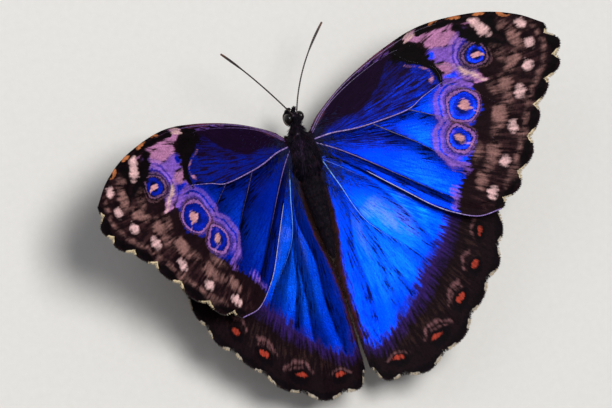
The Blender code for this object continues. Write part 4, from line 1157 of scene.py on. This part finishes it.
HINDWING_UPPER = {
    "loam": [("line", [(33.0, -14.0), (30.0, -24.0), (24.0, -33.0), (15.0, -40.0), (4.0, -44.0)],
              (5.0, 5.0), 5.0, 0.4)],
    "violet": [("patch", [(0.0, 3.0), (8.0, 4.0), (20.0, 2.0), (27.0, -4.0), (28.0, -16.0), (26.6, -21.0),
                          (23.0, -27.0), (18.6, -31.0), (15.8, -34.8), (10.4, -38.6), (5.4, -42.2),
                          (0.8, -44.0), (-1.8, -40.0), (-2.3, -24.0), (0.0, -8.0)], 3.4)],
    "blue": [("patch", [(0.0, 3.0), (8.0, 4.4), (18.0, 3.2), (24.6, -2.0), (26.4, -12.0), (25.6, -18.0),
                        (24.6, -20.4), (20.0, -25.8), (15.6, -29.4), (13.8, -32.6), (9.0, -36.8),
                        (4.8, -40.2), (1.2, -42.2), (-0.8, -40.0), (-1.6, -30.0), (-0.9, -18.0),
                        (0.4, -8.0)], 3.0)],
    # azure: painted highlight, a lighter blue where the blue catches the light
    "azure": [("patch", [(6.0, -10.0), (16.0, -12.0), (20.0, -20.0), (14.0, -28.0), (8.0, -33.0),
                         (4.0, -30.0), (4.0, -18.0)], 6.0, 0.9)],
    "sheen": [("spot", (9.6, -12.4), (2.4, 1.3, 20), 1.8, 0.5),
              ("spot", (12.2, -15.4), (3.6, 1.5, 118), 1.8, 0.56),
              ("spot", (15.6, -17.0), (3.4, 1.3, 112), 1.8, 0.52),
              ("spot", (17.0, -10.5), (2.6, 1.0, 130), 1.5, 0.45),
              ("spot", (5.0, -17.0), (3.4, 0.6, 95), 1.4, 0.45)],
    "soot": [("line", [(37.4, -17.4), (36.0, -25.5), (32.8, -32.4), (26.8, -38.6), (20.2, -45.2),
                       (10.6, -50.2), (0.9, -49.6), (-1.4, -46.0)], (1.8, 1.8), 1.2, 0.8),
             ("spot", (31.5, -24.6), (2.2, 1.5, 70), 1.0, 0.9),
             ("spot", (28.2, -31.8), (2.2, 1.5, 60), 1.0, 0.9),
             ("spot", (22.8, -38.2), (2.6, 1.7, 50), 1.0, 0.9),
             ("spot", (15.6, -44.6), (2.8, 1.8, 25), 1.0, 0.9),
             ("spot", (5.0, -47.0), (2.8, 1.4, 0), 1.0, 0.9)],
    "russet": [("line", [(0.3, -6.0), (0.2, -12.0), (-0.7, -18.5), (-1.7, -22.6), (-2.1, -30.0),
                         (-2.2, -40.0)],
                (1.1, 1.3), 1.0, 0.75)],
    "red": [("spot", (31.8, -24.4), (1.0, 0.5, 75), 0.5), ("spot", (28.2, -31.3), (1.1, 0.6, 62), 0.5),
            ("spot", (22.5, -37.8), (1.4, 0.65, 55), 0.5), ("spot", (14.7, -44.3), (1.5, 0.55, 25), 0.5),
            ("spot", (4.8, -46.5), (1.3, 0.4, 3), 0.5, 0.85)],
    "blush": [("line", [(29.8, -25.6), (29.7, -23.4), (31.0, -22.0)], (0.4, 0.6), 0.6, 0.75),
              ("line", [(25.4, -31.6), (25.8, -29.4), (27.7, -28.0)], (0.4, 0.8), 0.7, 0.8),
              ("line", [(19.9, -38.0), (20.5, -35.7), (23.3, -33.9)], (0.4, 1.1), 0.8, 0.9),
              ("line", [(20.9, -36.7), (22.0, -35.6), (23.6, -35.2)], (0.3, 0.4), 0.6, 0.6),
              ("line", [(11.9, -44.2), (13.0, -42.1), (16.2, -41.0), (18.9, -42.0)], (0.5, 0.6), 0.7, 0.8),
              ("line", [(13.4, -42.9), (15.4, -42.3), (17.6, -42.7)], (0.4, 0.3), 0.6, 0.6),
              ("line", [(2.2, -46.3), (4.4, -45.3), (7.6, -45.8)], (0.4, 0.5), 0.6, 0.65)],
}
HINDWING_LOWER = {
    "umber": [("line", [(2.0, -1.0), (14.0, -4.0), (25.0, -9.0)], (3.0, 6.0), 4.0, 0.8),
              ("line", [(29.0, -2.0), (25.0, -14.0), (18.0, -23.0), (9.0, -28.0), (1.0, -30.0)],
               (3.0, 3.0), 2.0, 0.8),
              ("line", [(35.0, -15.0), (31.5, -26.0), (25.0, -35.0), (15.0, -43.0), (4.0, -46.0)],
               (3.6, 3.0), 2.0, 0.9)],
    "buff": [("line", [(12.0, 3.4), (13.0, -3.0), (9.0, -9.0), (4.0, -13.0)], (1.4, 1.0), 0.5, 0.9),
             ("line", [(20.0, 2.4), (19.6, -5.0), (15.0, -13.0), (8.0, -19.0), (1.0, -22.0)],
              (2.0, 1.4), 0.5, 0.9),
             ("line", [(31.6, -8.0), (30.4, -17.0), (26.4, -27.4), (19.0, -35.6), (9.0, -41.0),
                       (0.0, -42.6)],
              (1.7, 1.3), 0.5, 0.9)],
    "silver": [("line", [(36.0, -17.6), (34.8, -25.0), (31.6, -31.6), (25.8, -37.6), (19.4, -44.0),
                         (10.2, -48.8), (1.2, -48.2)], (1.0, 1.0), 0.7, 0.9)],
    "ochre": [("line", [(34.4, -17.8), (33.2, -24.6), (30.2, -30.6), (24.6, -36.4), (18.4, -42.6),
                        (9.8, -47.2), (1.4, -46.6)], (0.7, 0.7), 0.5, 0.95)],
}
HIND_EYESPOTS_LOWER = lower_eyespots((((24.6, -9.6), 4.8), ((22.4, -24.6), 3.0), ((17.4, -31.0), 4.0),
                                      ((10.4, -36.0), 3.6)))
lay_out(HINDWING, HINDWING_UPPER, HINDWING_LOWER, 0.8, (0.3, 0.1))

# The same blue and black scales, the blue a little lighter, with violet where the two mix. The
# azure layer is a painted highlight, lighter blue where the wing catches the light, and the sheen
# layer is painted highlight too, in pale violet.
hindwing_blue = layered_scales(
    "hindwing_blue_scales", "#150a0e",
    [("loam", "#281817"), ("violet", "#2a1752", 1.0), ("blue", "#0038d6", 0.8), ("azure", "#0656f2", 0.9),
     # fold: painted shade of the folds behind the veins
     ("sheen", "#4a62dc", 1.0), ("fold", "#020634", 1.0), ("soot", "#0a0508"), ("russet", "#3c1614"),
     ("blush", "#644244", 1.0), ("red", "#963426", 0.7), ("edging", "#948a7e")],
    ("blue", "azure", "sheen", "fold"))
hindwing_brown = underside_scales("hindwing_underside_scales", HIND_EYESPOTS_LOWER)
# hindwing veins: blue-scaled, their pale and bright tones, strongest on media_3, are painted highlight along
# lit ridges
hindwing_vein = vein_scales("hindwing_vein_scales", "#06061c", "#2a62d8", "#6fa8ee")
for side in SIDES:
    build_wing("hindwing", side, HINDWING, [hindwing_blue, hindwing_brown])
    build_veins("hindwing", side, HINDWING, [hindwing_vein, underside_vein])


# ---- coat: hair of the body, the wing roots and the fringes ----------------------------------
# Hairs and hair-like scales grow back along the body in overlapping locks: long on the thorax,
# short on the abdomen, shortest on the face. The wing margins end in a fringe of narrow scales,
# pale in the notches. Each lock is a closed three-sided sliver, with its root sunk in the skin.
LOCK_SPREAD = 0.003        # how much of the unwrap each lock's patch takes up
BODY_LOCKS = 25000
INNER_FOLD_LOCKS = 3600
FRINGE_STEP = 0.075        # from one fringe scale to the next along the margin


def locks(name, roots, ways, outs, lengths, widths, bend, unwrap, shades, mats):
    """Grow one lock at each root: it sets off along its way, bends down to the skin and tapers."""
    roots, ways, outs = (np.asarray(v, float) for v in (roots, ways, outs))
    lengths, widths = np.asarray(lengths, float)[:, None], np.asarray(widths, float)[:, None]
    aside = np.cross(ways, outs)
    aside /= np.linalg.norm(aside, axis=1, keepdims=True)
    rise = np.cross(aside, ways)
    rings = []
    for f, girth in ((-0.08, 1.0), (0.4, 0.85), (0.75, 0.5)):
        middle = roots + (ways * f - rise * bend * max(f, 0) ** 2) * lengths
        rings += [middle - aside * widths * girth, middle + aside * widths * girth,
                  middle + rise * widths * girth * 0.6]
    rings.append(roots + (ways - rise * bend) * lengths)
    count = len(roots)
    points = np.stack(rings, 1).reshape(-1, 3)
    pattern = [(2, 1, 0)]
    for k in (0, 3):
        pattern += [(k, k + 1, k + 4, k + 3), (k + 1, k + 2, k + 5, k + 4), (k + 2, k, k + 3, k + 5)]
    pattern += [(6, 7, 9), (7, 8, 9), (8, 6, 9)]
    faces = [tuple(base + k for k in sheet) for base in range(0, 10 * count, 10) for sheet in pattern]
    obj = new_piece(name, from_hinges(points), faces, [], mats)
    owner = np.empty(len(obj.data.loops), np.int32)
    obj.data.loops.foreach_get("vertex_index", owner)
    within = np.array([(0.3 * (k // 3), 0.5 * (k % 3)) for k in range(9)] + [(1.0, 0.5)]) - 0.5
    patch = unwrap[owner // 10] + within[owner % 10] * LOCK_SPREAD
    obj.data.uv_layers.new(name="OFBake").uv.foreach_set("vector", patch.astype(np.float32).ravel())
    set_measure(obj, "lock", np.repeat(shades, 10))
    set_measure(obj, "tip", np.tile([0, 0, 0, 0.4, 0.4, 0.4, 0.75, 0.75, 0.75, 1], count))
    return obj


def skin_spots(count, seed):
    """Spots spread evenly over the skin, in mm from the hinges, and the way out at each."""
    mesh = skin.data
    mesh.calc_loop_triangles()
    sides = np.empty(len(mesh.loop_triangles) * 3, np.int32)
    mesh.loop_triangles.foreach_get("vertices", sides)
    spots, outward = np.empty((2, len(mesh.vertices) * 3), np.float32)
    mesh.vertices.foreach_get("co", spots)
    mesh.vertex_normals.foreach_get("vector", outward)
    corners = sides.reshape(-1, 3)
    spots = (spots.reshape(-1, 3) - np.array(hinges)) / MM
    outward = outward.reshape(-1, 3)
    a, b, c = (spots[corners[:, k]] for k in range(3))
    area = np.linalg.norm(np.cross(b - a, c - a), axis=1)
    dice = np.random.default_rng(seed)
    which = dice.choice(len(area), count, p=area / area.sum())
    f, g = dice.uniform(size=(2, count))
    flip = f + g > 1
    f, g = np.where(flip, 1 - f, f)[:, None], np.where(flip, 1 - g, g)[:, None]
    place = a[which] * (1 - f - g) + b[which] * f + c[which] * g
    return place, outward[corners[which, 0]], dice


def body_unwrap(spots):
    """The skin rolled out flat: round the body across, nose to tail up."""
    round_it = np.arctan2(spots[:, 0], -(spots[:, 2] + 1.8)) / math.tau + 0.5
    return np.column_stack([0.02 + 0.96 * round_it, 0.02 + 0.96 * (spots[:, 1] - TAIL_Y) / (9.0 - TAIL_Y)])


def lying(outs, lie, lift):
    """Directions along the skin nearest to lie, raised off it by lift."""
    flat = lie - outs * (lie * outs).sum(1, keepdims=True)
    flat /= np.linalg.norm(flat, axis=1, keepdims=True) + 1e-6
    ways = flat + outs * np.asarray(lift)[:, None]
    return ways / np.linalg.norm(ways, axis=1, keepdims=True)


def grow_body_coat():
    """Cover the skin with locks that lie back towards the tail, each over the roots behind it."""
    spots, outs, dice = skin_spots(BODY_LOCKS, 21)
    y = spots[:, 1]
    swirl = np.column_stack([np.sin(spots[:, 1] * 1.3 + spots[:, 2] * 1.7), 0 * y,
                             np.sin(spots[:, 0] * 1.5 + spots[:, 1] * 0.9)])
    lie = np.array([0.0, -1.0, 0.0]) + 0.45 * swirl + dice.normal(size=spots.shape) * 0.2
    lie[:, 0] += np.where(y > WAIST_Y, 0.1, 0) * np.sign(spots[:, 0])
    flank = np.clip(np.abs(outs[:, 0]) * 2 - 0.6, 0, 1) * np.interp(y, [-10, -8.5, -1.5, -0.3], [0, 1, 1, 0])
    lie[:, 0] += flank * np.sign(spots[:, 0])
    eyes = np.array([[sign * EYE_PLACE[0], EYE_PLACE[1], EYE_PLACE[2]] for sign in (-1, 1)])
    off_eyes = np.min([np.linalg.norm((spots - eye) / np.array(EYE_SIZE), axis=1) for eye in eyes], 0) > 1.03
    region = {"head": (y > NECK_Y - 0.4) & off_eyes, "thorax": (y <= NECK_Y - 0.4) & (y > WAIST_Y),
              "abdomen": y <= WAIST_Y}
    for part, (length, spread, width, lift, bend) in {
            "head": (0.65, 0.25, 0.052, 0.5, 0.12), "thorax": (1.6, 0.4, 0.09, 0.5, 0.34),
            "abdomen": (0.85, 0.25, 0.07, 0.26, 0.14)}.items():
        keep = region[part]
        count = keep.sum()
        size = length * (1 + spread * dice.uniform(-1, 1, count))
        raised = lift * dice.uniform(0.5, 1.5, count)
        if part == "head":
            size = size * np.interp(y[keep], [4.2, 5.2, 6.0, 7.2], [2.2, 1.5, 0.9, 0.65])
            raised = raised * np.interp(y[keep], [4.4, 5.4], [1.7, 1.0])
        else:
            size = size * (1 + 0.6 * flank[keep])
        ways = lying(outs[keep], lie[keep], raised)
        girth = width * dice.uniform(0.7, 1.3, count)
        locks("coat_" + part, spots[keep], ways, outs[keep], size, girth, bend, body_unwrap(spots[keep]),
              dice.uniform(0, 1, count), [coat_mat])


def grow_wing_root_hair(side):
    """Long soft hairs that run out over the wing roots and down beside the abdomen."""
    sign = SIDES[side]
    dice = np.random.default_rng(31 + sign)
    for kind, wing, count, reach in (("forewing", FOREWING, 1300, 6.5), ("hindwing", HINDWING, 2200, 9.0)):
        plan = wing["sheet"][0]
        root = np.array([0.8, -0.6 if kind == "forewing" else -1.0])
        far = np.linalg.norm(plan - root, axis=1)
        odds = np.exp(-far / reach * 2.2)
        if kind == "hindwing":
            beside = np.exp(-np.clip(plan[:, 0] + 1.4, 0, 9) / 1.1) * np.clip((plan[:, 1] + 46) / 20, 0, 1)
            odds = np.maximum(odds, 0.3 * beside)
        which = dice.choice(len(plan), count, p=odds / odds.sum())
        spots = plan[which] + dice.normal(size=(count, 2)) * 0.1
        lower = dice.uniform(size=count) < 0.3
        height = wing["sheet"][3][which] + np.where(lower, -1, 1) * MEMBRANE * 0.4
        lie = spots - (root + np.array([-1.5, 1.5]))
        lie = lie / np.linalg.norm(lie, axis=1, keepdims=True) + (-0.25, -0.55)
        lie = lie / np.linalg.norm(lie, axis=1, keepdims=True) + dice.normal(size=(count, 2)) * 0.15
        up = np.where(lower, -1.0, 1.0)
        roots3 = np.column_stack([sign * spots[:, 0], spots[:, 1], height])
        ways3 = np.column_stack([sign * lie[:, 0], lie[:, 1], up * dice.uniform(0.03, 0.22, count)])
        start = spread(wing, side, roots3)
        way = spread(wing, side, roots3 + ways3) - start
        tall = spread(wing, side, roots3 + np.column_stack([0 * up, 0 * up, up])) - start
        size = 1.5 * np.exp(-far[which] / 14) * dice.uniform(0.6, 1.3, count) + 0.25
        way /= np.linalg.norm(way, axis=1)[:, None]
        hair = locks("hair_" + kind + "_root_" + side, start, way, tall, size,
                     dice.uniform(0.03, 0.055, count), 0.05, bake_place(wing, spots, False),
                     dice.uniform(0, 1, count), [root_hair_mat, under_hair_mat])
        sheets = len(hair.data.polygons) // count
        hair.data.polygons.foreach_set("material_index", np.repeat(lower, sheets).astype(np.int32))


def grow_inner_fold(side):
    """Hair of the hindwing's inner edge, which closes the gap between the wing and the abdomen."""
    sign = SIDES[side]
    dice = np.random.default_rng(51 + sign)
    count = INNER_FOLD_LOCKS
    f = dice.beta(0.75, 1.5, count)
    edge = along(HINDWING["inner"], 0.02 + 0.94 * f)
    spots = edge + np.column_stack([dice.uniform(0.0, 0.7, count), np.zeros(count)])
    inward = np.interp(f, [0, 0.2, 0.5, 0.75, 1.0], [-1.6, -1.2, -0.8, -0.35, -0.2])
    ways = np.column_stack([sign * inward, np.full(count, -0.8), dice.uniform(-0.28, 0.16, count)])
    ways += dice.normal(size=ways.shape) * 0.12
    height = sheet_height(HINDWING, spots) + dice.uniform(-0.5, 0.5, count) * MEMBRANE
    roots = np.column_stack([sign * spots[:, 0], spots[:, 1], height])
    start = spread(HINDWING, side, roots)
    way = spread(HINDWING, side, roots + ways) - start
    tall = spread(HINDWING, side, roots + (0, 0, 1.0)) - start
    size = np.interp(f, [0, 0.3, 0.6, 1.0], [2.1, 1.9, 1.1, 0.7]) * dice.uniform(0.7, 1.15, count)
    locks("hair_inner_fold_" + side, start, way / np.linalg.norm(way, axis=1)[:, None], tall,
          size, dice.uniform(0.035, 0.06, count), 0.06, bake_place(HINDWING, spots, False),
          dice.uniform(0, 1, count), [fold_hair_mat])


def grow_fringe(kind, side, wing, pale_notch):
    """Narrow scales all along the margin, cream beside the notches between lobes."""
    sign = SIDES[side]
    dice = np.random.default_rng(41 + sign + len(kind))
    fine = np.linspace(0, 1, 4000)
    edge = margin_line(wing, fine, 1.0)[0]
    travel = np.concatenate([[0], np.cumsum(np.linalg.norm(np.diff(edge, axis=0), axis=1))])
    count = int(travel[-1] / FRINGE_STEP)
    s = np.interp(np.sort(dice.uniform(0, travel[-1], count)), travel, fine)
    edge, hollow, from_notch = margin_line(wing, s, 1.0)
    run = margin_line(wing, s + 0.001, 1.0)[0] - edge
    out = np.column_stack([run[:, 1], -run[:, 0]])
    out = out / (np.linalg.norm(out, axis=1, keepdims=True) + 1e-9)
    out *= np.sign((out * edge).sum(1, keepdims=True))
    out = out * 0.75 + edge / np.linalg.norm(edge, axis=1, keepdims=True) * 0.25
    out = out + dice.normal(size=out.shape) * 0.1
    last_row = wing["sheet"][3][-(WING_STEPS[0] + 1):]
    height = np.interp(s, np.linspace(0, 1, len(last_row)), last_row) + dice.uniform(-0.05, 0.05, count)
    inset = wing["fringe"][0] + wing["fringe"][1] * hollow
    starts = edge - out * 0.25
    roots3 = np.column_stack([sign * starts[:, 0], starts[:, 1], height])
    ways3 = np.column_stack([sign * out[:, 0], out[:, 1], dice.uniform(-0.08, 0.08, count)])
    start = spread(wing, side, roots3)
    way = spread(wing, side, roots3 + ways3) - start
    tall = spread(wing, side, roots3 + (0, 0, 1.0)) - start
    size = (inset + 0.25) * dice.uniform(0.8, 1.12, count)
    wide, gap = pale_notch
    pale = (from_notch < wide + dice.normal(size=count) * 0.03) & (from_notch > gap)
    shades = np.where(pale, 0.75, 0.25) + dice.uniform(-0.25, 0.25, count)
    locks("fringe_" + kind + "_" + side, start, way / np.linalg.norm(way, axis=1)[:, None], tall, size,
          dice.uniform(0.05, 0.08, count), 0.0, bake_place(wing, starts, False), shades,
          [fringe_mat])


def plain_hair(name, dark, pale, roughness, specular):
    """Hair with no markings, each lock of its own shade between two colours."""
    mat, tree, shader = new_material(name)
    shade = add(tree, "Attribute", attribute_name="lock").outputs["Fac"]
    colour = add(tree, "Mix", {0: shade, 6: linear(dark), 7: linear(pale)}, data_type="RGBA").outputs[2]
    tree.links.new(colour, shader.inputs["Base Color"])
    shader.inputs["Roughness"].default_value = roughness
    shader.inputs["Specular IOR Level"].default_value = specular
    return mat


# Hair-scales of the body: matt black-brown with a violet sheen, partly painted in patches on the
# left of the thorax, a little paler at the tips.
coat_mat, coat_tree, coat_shader = new_material("body_hair_scales")
coat_colour = body_colour(coat_tree)[0]
lock = add(coat_tree, "Attribute", attribute_name="lock").outputs["Fac"]
tip = add(coat_tree, "Attribute", attribute_name="tip").outputs["Fac"]
odd = add(coat_tree, "Math", {0: lock, 1: 4.0}, operation="POWER").outputs[0]
bright = add(coat_tree, "MapRange", {"Value": odd, "To Min": 0.3, "To Max": 2.2}).outputs[0]
coat_colour = add(coat_tree, "VectorMath", {0: coat_colour, "Scale": bright}, operation="SCALE").outputs[0]
# tips tinted violet, or ruddy on a few locks
tip_tinting = add(coat_tree, "Math", {0: odd, 1: 0.2, 2: 0.02}, operation="MULTIPLY_ADD").outputs[0]
tip_tinting = add(coat_tree, "Math", {0: tip_tinting, 1: tip}, operation="MULTIPLY").outputs[0]
ruddy = add(coat_tree, "MapRange", {"Value": lock, "From Min": 0.93, "From Max": 0.95}).outputs[0]
tip_tint = add(coat_tree, "Mix", {0: ruddy, 6: linear("#5e4c70"), 7: linear("#8a4c44")},
               data_type="RGBA").outputs[2]
coat_colour = add(coat_tree, "Mix", {0: tip_tinting, 6: coat_colour, 7: tip_tint}, data_type="RGBA").outputs[2]
coat_tree.links.new(coat_colour, coat_shader.inputs["Base Color"])
coat_shader.inputs["Roughness"].default_value = 0.55
coat_shader.inputs["Specular IOR Level"].default_value = 0.12
coat_shader.inputs["Sheen Weight"].default_value = 0.03
coat_shader.inputs["Sheen Tint"].default_value = linear("#9a86b8")

# Soft root hair: brown-black with a blue gleam out on the wing.
root_hair_mat, root_tree, root_shader = new_material("wing_root_hair")
lock = add(root_tree, "Attribute", attribute_name="lock").outputs["Fac"]
tip = add(root_tree, "Attribute", attribute_name="tip").outputs["Fac"]
brown = add(root_tree, "Mix", {0: lock, 6: linear("#0a070d"), 7: linear("#261a2a")},
            data_type="RGBA").outputs[2]
gleam = add(root_tree, "Math", {0: tip, 1: lock}, operation="MULTIPLY").outputs[0]
brown = add(root_tree, "Mix", {0: gleam, 6: brown, 7: linear("#2a3a78")}, data_type="RGBA").outputs[2]
root_tree.links.new(brown, root_shader.inputs["Base Color"])
root_shader.inputs["Roughness"].default_value = 0.5
root_shader.inputs["Specular IOR Level"].default_value = 0.15

# Root hair under the wings: plain brown like the scales it lies on.
under_hair_mat = plain_hair("wing_underside_hair", "#20150e", "#6a5238", 0.6, 0.1)

# Hair of the inner fold: dark red-brown, straggling beside the abdomen.
fold_hair_mat = plain_hair("inner_fold_hair", "#0b0507", "#3c1a14", 0.55, 0.15)

# Fringe scales: black-brown on the lobes, cream in the notches, each with its own shade.
fringe_mat, fringe_tree, fringe_shader = new_material("fringe_scales")
lock = add(fringe_tree, "Attribute", attribute_name="lock").outputs["Fac"]
pale = add(fringe_tree, "MapRange", {"Value": lock, "From Min": 0.48, "From Max": 0.54}).outputs[0]
uneven = add(fringe_tree, "MapRange", {"Value": lock, "From Min": 0.4, "From Max": 1.0, "To Min": 0.7})
pale = add(fringe_tree, "Math", {0: pale, 1: uneven.outputs[0]}, operation="MULTIPLY").outputs[0]
dark = add(fringe_tree, "Mix", {0: lock, 6: linear("#0b0607"), 7: linear("#3a2620")},
           data_type="RGBA").outputs[2]
dark = add(fringe_tree, "Mix", {0: pale, 6: dark, 7: linear("#c9b491")}, data_type="RGBA").outputs[2]
fringe_tree.links.new(dark, fringe_shader.inputs["Base Color"])
fringe_shader.inputs["Roughness"].default_value = 0.6

grow_body_coat()
for side in SIDES:
    grow_wing_root_hair(side)
    grow_inner_fold(side)
    grow_fringe("forewing", side, FOREWING, (0.2, -1.0))
    grow_fringe("hindwing", side, HINDWING, (0.3, 0.1))


# ---- floor, light and camera -----------------------------------------------------------------
# A sheet of pale matt board under the butterfly, one large soft lamp overhead, a weak cool one from
# the left and a dim even glow from all round. The camera looks down from the left, tilted off
# vertical and rolled, with a long lens so that the wings keep their true proportions.
BOARD_HALF = 900.0
SENSOR = 36.0
board_mat, board_tree, board_shader = new_material("pale_matt_board")
board_fleck = add(board_tree, "TexNoise", {"Vector": add(board_tree, "TexCoord").outputs["Object"],
                                           "Scale": 1 / (1.5 * MM), "Detail": 4.0})
board_pale = add(board_tree, "Mix", {0: board_fleck.outputs["Fac"], 6: linear("#d5d2cc"),
                                     7: linear("#dddad5")}, data_type="RGBA").outputs[2]
board_tree.links.new(board_pale, board_shader.inputs["Base Color"])
board_shader.inputs["Roughness"].default_value = 0.9
board_mesh = bpy.data.meshes.new("board")
board_mesh.from_pydata([(x * BOARD_HALF * MM, y * BOARD_HALF * MM, 0) for x, y in
                        ((-1, -1), (1, -1), (1, 1), (-1, 1))], [], [(0, 1, 2, 3)])
board_mesh.materials.append(board_mat)
board = bpy.data.objects.new("board", board_mesh)
bpy.context.scene.collection.objects.link(board)

world = bpy.data.worlds.new("studio")
bpy.context.scene.world = world
world.use_nodes = True
world.node_tree.nodes["Background"].inputs["Color"].default_value = linear("#dfe4ec")
world.node_tree.nodes["Background"].inputs["Strength"].default_value = 0.3


def softbox(name, towards, distance, size, power, colour):
    """A square lamp in a direction from the butterfly, facing it."""
    lamp = bpy.data.lights.new(name, "AREA")
    lamp.shape = "SQUARE"
    lamp.size = size
    lamp.energy = power
    lamp.color = linear(colour)[:3]
    obj = bpy.data.objects.new(name, lamp)
    bpy.context.scene.collection.objects.link(obj)
    aim = Vector(towards).normalized()
    obj.location = Vector((0, 0, 0.015)) + aim * distance
    obj.rotation_euler = aim.to_track_quat("Z", "Y").to_euler()


softbox("key", (0.02, 0.1, 1.0), 1.2, 0.5, 13.0, "#ffffff")
softbox("fill", (-0.7, 0.5, 0.8), 1.4, 0.7, 2.5, "#eef2ff")

LEAN, TURN, ROLL = math.radians(25.0), math.radians(-4.2), math.radians(17.4)
VIEW_WIDTH = 136.2
CAMERA_AWAY = 1.6
towards_camera = Vector((-math.sin(LEAN) * math.cos(TURN), math.sin(TURN), math.cos(LEAN) * math.cos(TURN)))
level_up = (Vector((0, 1, 0)) - towards_camera * towards_camera.y).normalized()
level_right = level_up.cross(towards_camera)
up = level_up * math.cos(ROLL) + level_right * math.sin(ROLL)
right = up.cross(towards_camera)
target = hinges + (right * 0.775 - up * 13.74) * MM
camera_data = bpy.data.cameras.new("camera")
camera_data.sensor_width = SENSOR
camera_data.lens = SENSOR * CAMERA_AWAY / (VIEW_WIDTH * MM)
camera_data.clip_end = 10.0
camera = bpy.data.objects.new("camera", camera_data)
bpy.context.scene.collection.objects.link(camera)
pose = Matrix((right, up, towards_camera)).transposed().to_4x4()
pose.translation = target + towards_camera * CAMERA_AWAY
camera.matrix_world = pose
bpy.context.scene.camera = camera
bpy.context.scene.view_settings.view_transform = "Standard"
